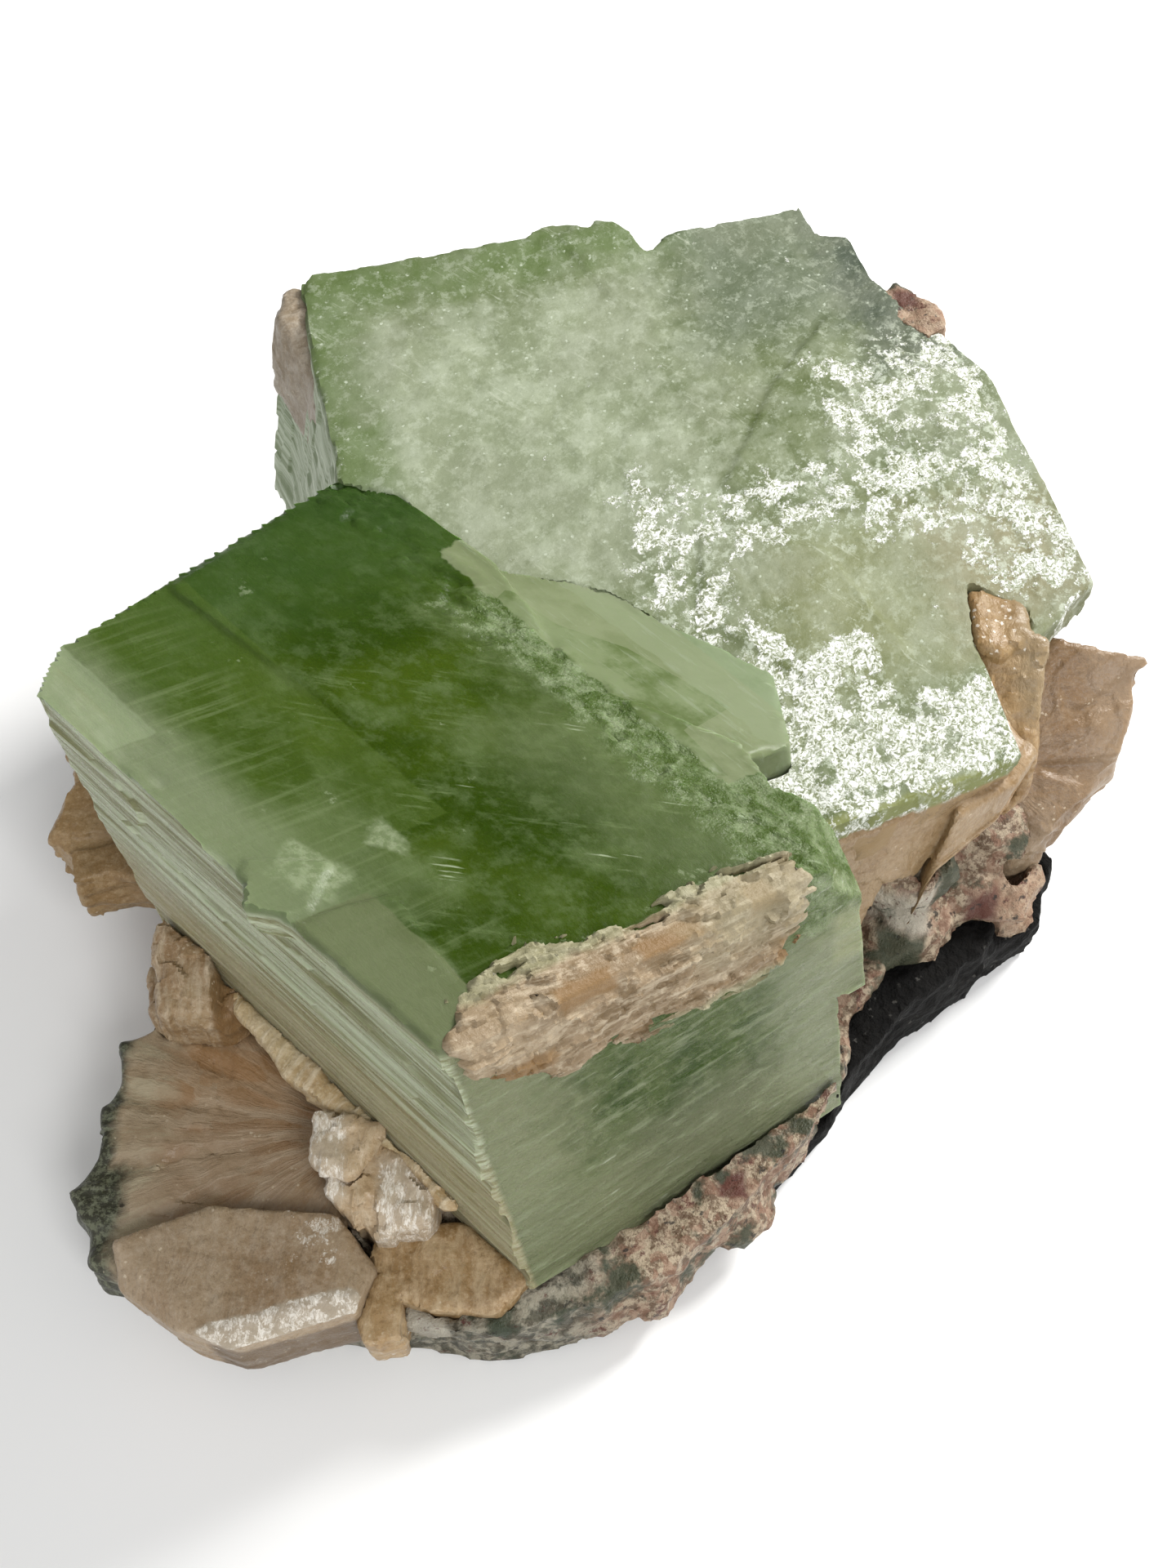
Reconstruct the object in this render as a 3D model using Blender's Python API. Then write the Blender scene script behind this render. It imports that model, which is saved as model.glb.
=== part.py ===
"""Calcite with apophyllite: two big green rhombs and peach blades on a crust over dark basalt."""

import math

import bmesh
import bpy
from mathutils import Matrix, Vector, noise

for old in list(bpy.data.objects):
    bpy.data.objects.remove(old)

MM = 0.001
GAP = 0.3            # clearance left between crystals that grow against each other, mm
LEAN_FRONT = (0.141, -0.131)   # sideways drift of the front rhomb's long edges per mm down
LEAN_BACK = (-0.19, -0.20)     # the same for the back rhomb
UPRIGHT = (0.0, 0.0)

# A face plane is written (height at the origin, rise per mm of x, rise per mm of y).
FRONT_TOP = (51.1, -0.132, -0.108)
FRONT_FLOOR = (9.7, -0.128, -0.118)
FRONT_TERRACE = (50.93, -0.151, -0.108)   # 0.6 above FRONT_TOP at its left end, level at its right
BACK_TOP = (44.0, -0.14, 0.035)
BACK_FLOOR = (32.3, 0.091, -0.079)
ROCK_BED = (1.0, 0.14, 0.0)        # bedding plane between crust and basalt
BOSS_TOP = (8.8, 0.05, 0.0)        # where the basalt stands higher, at the right
TABLE = (0.0, 0.0, 0.0)            # the flat underside


def height(plane, x, y):
    return plane[0] + plane[1] * x + plane[2] * y


def lifted(plane, amount):
    return (plane[0] + amount, plane[1], plane[2])


def slide(x, y, top, lean, floor):
    """Point where the edge that starts at (x, y) on the top plane meets the floor plane."""
    start = height(top, x, y)
    fall = (start - height(floor, x, y)) / (1 + floor[1] * lean[0] + floor[2] * lean[1])
    return (x + lean[0] * fall, y + lean[1] * fall, start - fall)


def offset_outline(outline, grow):
    """Outline with every side moved outward by grow (outline runs counter-clockwise)."""
    moved = []
    count = len(outline)
    for i in range(count):
        before = Vector(outline[i - 1])
        here = Vector(outline[i])
        after = Vector(outline[(i + 1) % count])
        first = (here - before).normalized()
        second = (after - here).normalized()
        n1 = Vector((first.y, -first.x))
        n2 = Vector((second.y, -second.x))
        corner = n1 + n2
        reach = grow / max(0.35, corner.length_squared / 2)
        moved.append((here.x + corner.x * reach, here.y + corner.y * reach))
    return moved


def prism(outline, top, floor, lean=UPRIGHT, chamfers=(), grow=0.0):
    """Straight-sided block: an outline on the top plane, leaning down to the floor plane.
    Each chamfer is (point on the face, outward direction)."""
    bm = bmesh.new()
    top = lifted(top, grow)
    floor = lifted(floor, -grow)
    ring = offset_outline(outline, grow) if grow else outline
    upper = [bm.verts.new((x, y, height(top, x, y))) for x, y in ring]
    lower = [bm.verts.new(slide(x, y, top, lean, floor)) for x, y in ring]
    bm.faces.new(upper)
    bm.faces.new(list(reversed(lower)))
    for i in range(len(ring)):
        j = (i + 1) % len(ring)
        bm.faces.new((upper[j], upper[i], lower[i], lower[j]))
    for point, outward in chamfers:
        outward = Vector(outward).normalized()
        cut_away(bm, Vector(point) + outward * grow, outward)
    bmesh.ops.recalc_face_normals(bm, faces=bm.faces)
    return bm


def cut_away(bm, point, outward):
    """Removes everything beyond a plane and closes the cut with one flat face."""
    found = bmesh.ops.bisect_plane(
        bm, geom=bm.verts[:] + bm.edges[:] + bm.faces[:], dist=1e-5,
        plane_co=point, plane_no=outward, clear_outer=True)
    edges = [e for e in found["geom_cut"] if isinstance(e, bmesh.types.BMEdge)]
    if edges:
        bmesh.ops.contextual_create(bm, geom=edges)


def tablet(middle, along, facing, length, width, thick, point=0.25, grow=0.0):
    """Six-sided blade: long direction, facing direction of its flat side, pointed ends."""
    axis = Vector(along).normalized()
    normal = Vector(facing)
    normal = (normal - axis * normal.dot(axis)).normalized()
    side = normal.cross(axis)
    half = length / 2 + grow
    wide = width / 2 + grow
    deep = thick / 2 + grow
    tip = width * point
    outline = [(half, 0), (half - tip, wide), (-half + tip, wide),
               (-half, 0), (-half + tip, -wide), (half - tip, -wide)]
    bm = bmesh.new()
    centre = Vector(middle)
    upper = [bm.verts.new(centre + axis * a + side * b + normal * deep) for a, b in outline]
    lower = [bm.verts.new(centre + axis * a + side * b - normal * deep) for a, b in outline]
    bm.faces.new(upper)
    bm.faces.new(list(reversed(lower)))
    for i in range(6):
        j = (i + 1) % 6
        bm.faces.new((upper[j], upper[i], lower[i], lower[j]))
    bmesh.ops.recalc_face_normals(bm, faces=bm.faces)
    return bm


def fan(root, rim, top, floor, ridge, grow=0.0):
    """Sheaf of wedge blades that spread from a root to the rim points; every second blade
    stands ridge higher, so the sheaf is ribbed."""
    blades = []
    for i in range(len(rim) - 1):
        first = Vector(rim[i])
        second = Vector(rim[i + 1])
        across = (second - first) * 0.12
        centre = Vector(root)
        heel = centre - ((first + second) / 2 - centre).normalized() * (1.6 + 0.7 * (i % 3))
        outline = [heel - across * 0.8, first - across, second + across, heel + across * 0.8]
        lift = ridge if i % 2 else 0.0
        blades.append(prism([tuple(p) for p in outline], lifted(top, lift), floor, grow=grow))
    return blades


def rough_block(outline, top, floor, lean, size, bump, seed):
    """Broken rock: a prism cut into small faces, with its skin pushed in and out."""
    bm = prism(outline, top, floor, lean)
    bmesh.ops.triangulate(bm, faces=bm.faces)
    for _ in range(4):
        long_edges = [e for e in bm.edges if e.calc_length() > size]
        if not long_edges:
            break
        bmesh.ops.subdivide_edges(bm, edges=long_edges, cuts=1)
        bmesh.ops.triangulate(bm, faces=bm.faces)
    bm.normal_update()
    moves = {}
    for v in bm.verts:
        spot = v.co / 7.0 + Vector((seed, seed * 0.37, -seed))
        push = bump * (noise.noise(spot) + 0.5 * noise.noise(spot * 2.7))
        moves[v] = v.normal * push
    for v, move in moves.items():
        v.co += move
    return bm


# ---- the two green crystals -------------------------------------------------------------
def front_green_crystal(grow):
    """Rhomb with a straight back-left end, a broken ridge towards the back crystal, raised
    growth terraces on the top and stepped growths at its right end."""
    body = [(-11.6, -17.8), (22.0, 4.4), (19.0, 9.5), (14.4, 18.4), (5.6, 22.6), (-2.4, 23.6),
            (-5.8, 34.6), (-10.3, 41.5), (-21.2, 51.2), (-27.0, 52.3), (-49.8, 23.7), (-50.7, 17.9)]
    saddle = [(-9.5, 41.0), (-4.0, 24.0), (13.0, 16.5), (19.5, 20.0), (18.6, 30.6), (6.9, 36.8),
              (1.7, 40.6)]
    terrace = [(-41.2, 33.4), (-21.4, 17.0), (-9.0, 26.0), (-11.5, 40.5), (-21.6, 50.0), (-27.2, 51.0)]
    patch_left = [(-29.4, 0.2), (-28.7, -4.6), (-24.1, -5.4), (-22.6, 0.4)]
    patch_edge = [(-24.0, -6.0), (-12.2, -16.6), (-8.4, -14.4), (-17.0, -2.6)]
    shoulder = [(15.0, -0.4), (25.0, 6.2), (22.6, 10.4), (18.0, 13.0)]
    foot = [(13.0, -2.6), (23.6, 4.6), (20.0, 9.0), (10.0, 6.0)]
    return [
        prism(body, FRONT_TOP, FRONT_FLOOR, LEAN_FRONT, grow=grow,
              chamfers=[((21.2, 5.6, 47.8), (0.86, 0.05, 0.5))]),
        prism(saddle, (53.2, -0.22, -0.2), (20.0, 0.0, 0.0), LEAN_FRONT, grow=grow),
        prism(terrace, FRONT_TERRACE, lifted(FRONT_TOP, -3), LEAN_FRONT, grow=grow),
        prism(patch_left, lifted(FRONT_TOP, 0.4), lifted(FRONT_TOP, -3), LEAN_FRONT, grow=grow),
        prism(patch_edge, lifted(FRONT_TOP, 0.45), lifted(FRONT_TOP, -3), LEAN_FRONT, grow=grow),
        prism(shoulder, FRONT_TOP, lifted(FRONT_FLOOR, 21), LEAN_FRONT, grow=grow,
              chamfers=[((20.3, 6.8, 47.8), (0.80, -0.05, 0.6))]),
        prism(foot, lifted(FRONT_TOP, -30), FRONT_FLOOR, LEAN_FRONT, grow=grow),
    ]


def back_green_crystal(grow):
    """Thick rhombic plate, notched at its far edge and at its right side; it thins to the
    right over the rock below. Small twins stand on the far edge and on the left side."""
    plate = [(21.0, 11.1), (44.8, 23.5), (41.8, 37.6), (42.1, 46.2), (48.3, 44.0), (48.4, 38.9),
             (57.3, 48.1), (56.0, 53.4), (49.8, 79.8), (43.8, 88.0), (36.2, 96.4), (34.1, 104.0),
             (29.7, 104.0), (28.0, 109.0), (10.4, 100.4), (7.2, 95.8), (5.2, 99.7), (-8.1, 96.1),
             (-33.0, 84.8), (-33.8, 83.2), (-26.9, 52.0), (-5.0, 30.0)]
    ledge = [(15.5, 57.0), (30.0, 55.0), (50.0, 62.0), (47.0, 78.0), (30.0, 88.0), (22.0, 74.0)]
    low_ledge = [(12.5, 50.0), (26.0, 49.0), (34.0, 36.0), (24.0, 30.0), (12.0, 38.0)]
    twins = [(-7.4, 95.6), (0.0, 93.5), (7.0, 95.3), (5.3, 99.2), (3.3, 101.0), (1.0, 100.4),
             (0.1, 98.8), (-2.5, 99.6), (-7.0, 97.2)]
    side_twin = [(-38.5, 80.3), (-34.5, 72.8), (-30.0, 74.0), (-30.0, 84.0), (-37.3, 82.3)]
    return [
        prism(plate, BACK_TOP, BACK_FLOOR, LEAN_BACK, grow=grow),
        prism(ledge, lifted(BACK_TOP, 0.5), lifted(BACK_TOP, -3), LEAN_BACK, grow=grow),
        prism(low_ledge, lifted(BACK_TOP, 0.4), lifted(BACK_TOP, -3), LEAN_BACK, grow=grow),
        prism(twins, lifted(BACK_TOP, 0.35), lifted(BACK_TOP, -9), LEAN_BACK, grow=grow),
        prism(side_twin, lifted(BACK_TOP, -14), lifted(BACK_TOP, -28), LEAN_BACK, grow=grow),
    ]


# ---- the peach blades and fans ----------------------------------------------------------
RIDGE_START = Vector((-12.6, -15.6, 53.6))
RIDGE_END = Vector((21.0, 6.8, 47.0))


def ridge_peach_cap(grow):
    """Sheaf of blades lying along the front rhomb's near top edge, fanned at its left end."""
    run = RIDGE_END - RIDGE_START
    outward = Vector((0.45, -0.62, 0.55))
    left = [(-12.2, -15.0), (-10.8, -19.1), (4.4, -9.0), (3.6, -2.6), (-5.5, -7.4), (-10.6, -11.4)]
    middle = [(1.0, -11.2), (14.4, -2.3), (13.6, 4.4), (10.0, 3.4), (1.2, -3.6)]
    right = [(11.5, -4.2), (19.4, 1.0), (18.8, 6.0), (16.6, 7.4), (11.8, 4.2)]
    skin = lifted(FRONT_TOP, 1.3)
    blades = [
        prism(left, skin, lifted(FRONT_TOP, -5.2), LEAN_FRONT, grow=grow,
              chamfers=[((-6.0, -15.4, 53.4), (0.30, -0.62, 0.72))]),
        prism(middle, skin, lifted(FRONT_TOP, -4.8), LEAN_FRONT, grow=grow,
              chamfers=[((8.0, -6.6, 52.0), (0.40, -0.60, 0.69))]),
        prism(right, skin, lifted(FRONT_TOP, -3.8), LEAN_FRONT, grow=grow,
              chamfers=[((17.0, -0.6, 49.6), (0.45, -0.55, 0.70))]),
    ]
    for i in range(7):
        t = 0.14 + 0.112 * i
        drop = (-2.0, 0.4, -3.2, -0.4, -2.6, 0.4, -1.6)[i]
        tilt = (0.10, -0.04, 0.14, -0.10, 0.05, -0.12, 0.08)[i]
        spot = RIDGE_START + run * t + Vector((0, 0, drop)) + outward * 0.5
        along = run.normalized() + Vector((0, 0, tilt))
        blades.append(tablet(spot, along, outward, 10.0, 4.6, 3.6, 0.35, grow))
    for i in range(4):
        t = 0.20 + 0.19 * i
        spot = RIDGE_START + run * t + Vector((-1.4, 2.2, 0.6))
        along = run.normalized() + Vector((0.0, 0.12 - 0.08 * i, 0.0))
        blades.append(tablet(spot, along, (0.1, 0.1, 1.0), 10.5, 5.0, 2.6, 0.35, grow))
    for i in range(6):
        angle = math.radians(-6 - 17 * i)
        along = run.normalized() * math.cos(angle) + Vector((0.1, -0.1, 1.0)) * math.sin(angle)
        spot = RIDGE_START + run * 0.17 + along * -1.6 + Vector((0.9, -1.4, -3.4))
        blades.append(tablet(spot, along, outward, 10.5, 3.0, 3.4, 0.35, grow))
    return blades


def front_peach_slab(grow):
    """Slab below the near edge of the back rhomb, flush with its front side."""
    slab = [(20.5, 12.0), (44.6, 24.6), (46.4, 27.0), (44.0, 31.0), (20.0, 20.0)]
    leaf = [(37.5, 19.2), (44.8, 22.9), (48.2, 27.5), (44.0, 31.0), (40.0, 29.0)]
    root = [(20.5, 12.4), (32.4, 18.6), (33.0, 22.6), (20.0, 19.0)]
    return [
        prism(slab, lifted(BACK_TOP, -2.4), (37.0, -0.28, 0.0), LEAN_BACK, grow=grow),
        prism(leaf, lifted(BACK_TOP, -4.0), (1.0, 0.58, 0.0), LEAN_BACK, grow=grow),
        prism(root, lifted(BACK_TOP, -4.0), (19.0, 0.0, 0.0), LEAN_BACK, grow=grow),
    ]


def notch_peach_column(grow):
    """Column that fills the notch in the back rhomb's right side and runs down its edge."""
    head = [(42.5, 45.8), (42.2, 37.8), (44.6, 36.5), (48.0, 39.2), (47.9, 43.6), (45.6, 47.0)]
    leg = [(42.6, 37.4), (45.1, 25.0), (47.6, 27.0), (49.4, 38.6), (47.0, 40.0)]
    return [
        prism(head, (41.4, -0.05, 0.0), (30.0, 0.0, 0.0), (0.02, -0.05), grow=grow),
        prism(leg, (16.5, 0.05, 0.52), (24.0, 0.0, 0.1), (0.05, -0.08), grow=grow),
    ]


def right_peach_fan(grow):
    """Broad sheaf of blades standing out from below the back rhomb's right corner."""
    top = (1.9, -0.03, 0.70)
    floor = (-6.0, 0.0, 0.70)
    rim = [(50.4, 46.6), (54.8, 44.6), (63.0, 43.1), (62.4, 38.6), (60.8, 34.2), (56.4, 30.4),
           (52.6, 26.6), (49.2, 22.6)]
    return fan((45.5, 33.0), list(reversed(rim)), top, floor, 0.6, grow)


def left_peach_plate(grow):
    """Stack of rough plates on the outer left side, below the front rhomb's far corner."""
    top = (17.6, -0.04, 0.0)
    rim = [(-44.5, 19.2), (-52.0, 20.2), (-57.0, 19.2), (-58.0, 22.6), (-60.6, 25.6), (-59.6, 31.6),
           (-60.6, 37.4), (-53.0, 44.0), (-40.0, 44.0)]
    lower = [(-42.0, 23.0), (-53.0, 24.0), (-56.0, 29.0), (-54.0, 37.0), (-38.0, 43.0)]
    return fan((-36.0, 30.0), list(reversed(rim)), top, (13.0, 0.0, 0.0), 0.9, grow) + [
        prism(list(reversed(lower)), (15.0, 0.0, 0.0), (9.5, 0.0, 0.0), (0.25, 0.2), grow=grow)]


def left_peach_column(grow):
    """Column standing against the front rhomb's left side."""
    stem = [(-45.4, 13.6), (-45.6, 8.4), (-44.2, 2.4), (-38.6, 2.4), (-35.6, 5.4), (-41.0, 14.6)]
    top = (21.6, 0.0, 0.22)
    side = [(-47.2, 9.0), (-46.2, 3.6), (-42.0, 2.4), (-42.4, 9.0)]
    return [
        prism(stem, top, (9.0, 0.0, 0.0), (0.04, 0.03), grow=grow),
        prism(side, (18.0, 0.0, 0.15), (9.0, 0.0, 0.0), (0.04, 0.03), grow=grow),
    ]


def lower_left_peach_fan(grow):
    """Big open fan that spreads to the left from below the front rhomb's lower edge."""
    top = (13.2, -0.035, 0.03)
    rim = [(-36.0, 7.2), (-42.0, 6.8), (-46.4, 4.4), (-50.4, 2.2), (-49.6, -1.8), (-51.2, -5.4),
           (-50.2, -10.0), (-51.6, -14.6), (-49.0, -18.0), (-48.8, -21.4), (-43.0, -23.4),
           (-36.0, -22.4), (-27.0, -20.5)]
    return fan((-24.0, -7.5), rim, top, (4.5, 0.0, 0.0), 0.6, grow)


def front_peach_blade(grow):
    """Thick tabular crystal at the front left, with a long bevelled front edge."""
    plate = [(-43.6, -20.2), (-43.0, -24.4), (-38.6, -28.4), (-34.0, -30.0), (-22.6, -26.6),
             (-21.2, -22.4), (-25.0, -17.6), (-37.0, -16.6)]
    return [prism(plate, (18.0, 0.0, 0.02), (5.6, 0.0, 0.0), (0.03, 0.05), grow=grow,
                  chamfers=[((-28.5, -26.6, 17.6), (0.16, -0.62, 0.75)),
                            ((-40.6, -23.6, 17.6), (-0.50, -0.40, 0.75)),
                            ((-23.2, -22.6, 17.6), (0.72, 0.10, 0.70))])]


def upper_peach_block(grow):
    """Short blocky crystals with bright flat tops, against the front rhomb's lower edge."""
    first = [(-27.2, -8.4), (-26.8, -13.2), (-23.6, -14.6), (-20.6, -10.0)]
    second = [(-25.0, -11.0), (-25.4, -15.6), (-21.6, -19.0), (-16.2, -18.0), (-15.6, -14.0),
              (-21.0, -9.0)]
    return [
        prism(first, (21.6, 0.0, 0.05), (9.0, 0.0, 0.0), (0.05, 0.05), grow=grow),
        prism(second, (19.6, -0.06, 0.10), (9.0, 0.0, 0.0), (0.05, 0.05), grow=grow,
              chamfers=[((-20.6, -17.4, 18.6), (-0.15, -0.75, 0.64))]),
    ]


def lower_peach_block(grow):
    """Flat-topped block below the front rhomb's lowest corner, with a small one beside it."""
    wide = [(-21.4, -17.6), (-21.0, -23.4), (-15.4, -25.2), (-9.2, -25.4), (-6.2, -22.6),
            (-9.6, -17.0)]
    small = [(-24.2, -22.6), (-21.6, -28.6), (-18.6, -28.2), (-19.2, -22.4)]
    return [
        prism(wide, (14.4, 0.0, 0.04), (5.6, 0.0, 0.0), (0.04, 0.06), grow=grow),
        prism(small, (13.6, 0.0, 0.0), (5.6, 0.0, 0.0), (0.04, 0.06), grow=grow),
    ]


def peach_fringe(grow):
    """Thin shelf of blades along the foot of the front rhomb's left side."""
    shelf = [(-37.6, 7.6), (-37.0, 3.2), (-33.4, -0.4), (-30.8, -4.2), (-27.6, -6.2), (-23.6, -9.2),
             (-18.4, -12.6), (-14.4, -17.0), (-10.0, -17.4), (-30.0, 6.0)]
    return [prism(shelf, (20.2, -0.02, 0.04), (17.6, -0.02, 0.04), (0.1, 0.1), grow=grow)]


def rear_peach_coat(grow):
    """Thin coat of blades on the far left side of the back rhomb; it tapers towards the front."""
    coat = [(-33.2, 83.8), (-36.4, 83.4), (-36.8, 78.5), (-33.4, 68.0), (-30.0, 56.5), (-28.2, 54.5),
            (-27.2, 56.0)]
    return [prism(coat, lifted(BACK_TOP, -1.0), lifted(BACK_TOP, -10.5), LEAN_BACK, grow=grow)]


# ---- the rock ---------------------------------------------------------------------------
LOW_CRUST = [(-21.0, -26.6), (-13.0, -27.6), (-5.6, -27.0), (1.7, -24.6), (9.2, -21.2), (15.6, -15.2),
             (23.6, -7.4), (26.4, -2.0), (29.4, 6.6), (33.6, 13.0), (38.6, 15.6), (43.6, 19.4),
             (50.0, 18.6), (52.6, 23.6),
             (53.0, 34.0), (52.0, 56.0), (46.0, 76.0), (36.0, 92.0), (24.0, 100.0), (0.0, 91.0),
             (-28.0, 80.0), (-35.0, 64.0), (-42.0, 44.0), (-49.0, 30.0), (-47.6, 8.0),
             (-48.6, -8.0), (-46.4, -20.6), (-38.0, -25.0)]
HIGH_CRUST = [(24.0, 17.0), (43.0, 25.0), (49.0, 40.0), (52.0, 56.0), (47.6, 78.0), (43.4, 90.0),
              (36.0, 98.0), (24.0, 100.0), (0.0, 91.0), (-28.0, 78.0), (-30.0, 56.0), (-12.0, 44.0)]
FAR_LUMP = [(34.6, 96.0), (37.0, 90.0), (43.4, 84.6), (46.6, 86.8), (45.4, 92.4), (39.4, 99.2)]
KNOBS = [(36.4, 19.0, 5.8, 15.0), (34.6, 22.4, 6.5, 25.0), (43.6, 23.6, 4.6, 16.5),
         (48.2, 23.6, 4.8, 14.8), (46.4, 28.4, 5.5, 21.0), (49.6, 21.6, 3.6, 11.0),
         (15.0, -12.0, 4.6, 8.0), (6.0, -20.0, 4.4, 8.5)]   # x, y, radius, top
BOSS = [(26.2, -5.0), (32.0, 0.0), (37.6, 5.6), (47.0, 11.6), (47.4, 19.6), (43.4, 22.0),
        (38.6, 18.0), (33.0, 14.6), (28.4, 7.0)]


def knob(x, y, radius, top):
    """Rounded lump that rises from the crust."""
    bm = bmesh.new()
    bmesh.ops.create_icosphere(bm, subdivisions=2, radius=radius)
    for v in bm.verts:
        v.co *= 1 + 0.22 * noise.noise(v.co / 2.6 + Vector((x, y, 0)))
        v.co += Vector((x, y, top - radius * 0.6))
    return bm


def mottled_crust():
    """Weathered crust: a low shelf under everything, a thicker mass under the back rhomb and a
    lump that laps over its far right edge."""
    pieces = [
        rough_block(LOW_CRUST, (12.5, 0.02, 0.01), lifted(TABLE, -4), (0.04, 0.03), 10.0, 1.6, 3.1),
        rough_block(HIGH_CRUST, (33.0, 0.06, -0.05), (8.0, 0.0, 0.0), (0.0, 0.0), 14.0, 1.6, 5.7),
        rough_block(FAR_LUMP, (42.6, 0.0, 0.0), (18.0, 0.0, 0.0), (0.0, 0.0), 5.0, 1.0, 2.3),
    ]
    for spot in KNOBS:
        pieces.append(knob(*spot))
    return pieces


def basalt_base():
    """Dark fine-grained basalt wedge that shows at the right; its underside is flat."""
    outline = [(-5.0, -24.6), (2.0, -22.8), (9.6, -19.0), (16.0, -13.0), (25.4, -4.0), (30.0, 2.4),
               (36.4, 9.6), (45.2, 15.0), (46.4, 17.2), (53.2, 21.4), (55.6, 29.0), (53.0, 56.0), (46.0, 76.0),
               (35.0, 92.0), (20.0, 99.0), (-4.0, 89.0), (-16.0, 84.0)]
    return [rough_block(outline, (14.0, 0.0, 0.0), (-6.0, 0.0, 0.0), (0.02, 0.02), 10.0, 0.9, 9.3)]


# ---- building ---------------------------------------------------------------------------
def to_object(name, bm):
    mesh = bpy.data.meshes.new(name)
    bm.to_mesh(mesh)
    bm.free()
    thing = bpy.data.objects.new(name, mesh)
    bpy.context.scene.collection.objects.link(thing)
    return thing


def boolean(thing, other, operation):
    """Joins other to thing or cuts it out of thing, and removes other."""
    step = thing.modifiers.new("join", "BOOLEAN")
    step.operation = operation
    step.solver = "MANIFOLD"     # keeps every joined solid closed
    step.object = other
    bpy.context.view_layer.update()
    shape = bpy.data.meshes.new_from_object(thing.evaluated_get(bpy.context.evaluated_depsgraph_get()))
    thing.modifiers.remove(step)
    thing.data = shape
    bpy.data.objects.remove(other)


def joined(name, pieces):
    body = to_object(name, pieces[0])
    for piece in pieces[1:]:
        boolean(body, to_object("piece", piece), "UNION")
    return body


def largest_shell(bm):
    """Drops loose crumbs, so that one closed body is left."""
    shells = []
    left = set(bm.verts)
    while left:
        start = left.pop()
        shell = [start]
        waiting = [start]
        while waiting:
            for e in waiting.pop().link_edges:
                for v in e.verts:
                    if v in left:
                        left.discard(v)
                        shell.append(v)
                        waiting.append(v)
        shells.append(shell)
    shells.sort(key=len, reverse=True)
    for shell in shells[1:]:
        bmesh.ops.delete(bm, geom=shell, context="VERTS")


def tidy(thing):
    """Merges doubled points as far as the body stays closed, and keeps its largest shell."""
    for reach in (0.02, 0.008, 0.003, 0.001, 0.0):
        bm = bmesh.new()
        bm.from_mesh(thing.data)
        bmesh.ops.remove_doubles(bm, verts=bm.verts, dist=reach)
        bmesh.ops.dissolve_degenerate(bm, edges=bm.edges, dist=reach / 2)
        bmesh.ops.triangulate(bm, faces=bm.faces)
        largest_shell(bm)
        closed = all(e.is_manifold for e in bm.edges)
        bmesh.ops.recalc_face_normals(bm, faces=bm.faces)
        if closed or reach == 0.0:
            bm.to_mesh(thing.data)
        bm.free()
        if closed:
            break


def material(name, colour, roughness):
    paint = bpy.data.materials.new(name)
    paint.use_nodes = True
    shader = paint.node_tree.nodes["Principled BSDF"]
    shader.inputs["Base Color"].default_value = (*colour, 1.0)
    shader.inputs["Roughness"].default_value = roughness
    shader.inputs["Metallic"].default_value = 0.0
    return paint


GREEN_DEEP = ("moss_green_calcite", (0.11, 0.20, 0.06), 0.28)
GREEN_PALE = ("frosted_green_calcite", (0.33, 0.42, 0.28), 0.32)
PEACH = ("peach_stilbite", (0.66, 0.42, 0.27), 0.38)
CREAM = ("cream_stilbite", (0.78, 0.58, 0.40), 0.42)
CRUST = ("mottled_crust_rock", (0.42, 0.30, 0.24), 0.75)
BASALT = ("dark_basalt", (0.045, 0.045, 0.045), 0.80)

CRYSTALS = [
    (front_green_crystal, GREEN_DEEP),
    (ridge_peach_cap, CREAM),
    (front_peach_slab, PEACH),
    (back_green_crystal, GREEN_PALE),
    (notch_peach_column, PEACH),
    (right_peach_fan, PEACH),
    (rear_peach_coat, CREAM),
    (peach_fringe, CREAM),
    (upper_peach_block, CREAM),
    (left_peach_column, PEACH),
    (front_peach_blade, PEACH),
    (lower_peach_block, PEACH),
    (left_peach_plate, PEACH),
    (lower_left_peach_fan, PEACH),
]


def overlaps(first, second):
    """True where the two boxes come within a millimetre of each other."""
    a = [first.matrix_world @ Vector(c) for c in first.bound_box]
    b = [second.matrix_world @ Vector(c) for c in second.bound_box]
    return all(
        min(p[k] for p in a) < max(p[k] for p in b) + 1 and min(p[k] for p in b) < max(p[k] for p in a) + 1
        for k in range(3))


def clear_of(part, neighbours):
    """Cuts part back so that a small gap is left to every neighbour that it meets."""
    for neighbour in neighbours:
        cutter = joined("cutter", neighbour(GAP))
        if overlaps(part, cutter):
            boolean(part, cutter, "DIFFERENCE")
        else:
            bpy.data.objects.remove(cutter)


parts = []
earlier = []
for shape, paint in CRYSTALS:
    part = joined(shape.__name__, shape(0.0))
    clear_of(part, earlier)
    earlier.append(shape)
    parts.append((part, paint))

FIELD = [(-90, -90), (90, -90), (90, 140), (-90, 140)]   # wider than the specimen on every side
DEEP = (-40.0, 0.0, 0.0)


def below(plane):
    """Block that fills everything under a plane."""
    return to_object("below", prism(FIELD, plane, DEEP))


def basalt_room(grow):
    """Block that fills the basalt's side of the bedding plane, with the boss at the right."""
    return joined("basalt_room", [prism(FIELD, ROCK_BED, DEEP, grow=grow),
                                  prism(BOSS, BOSS_TOP, DEEP, grow=grow)])


crust = joined("mottled_crust", mottled_crust())
clear_of(crust, earlier)
boolean(crust, basalt_room(GAP), "DIFFERENCE")
boolean(crust, below(TABLE), "DIFFERENCE")
parts.append((crust, CRUST))

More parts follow.
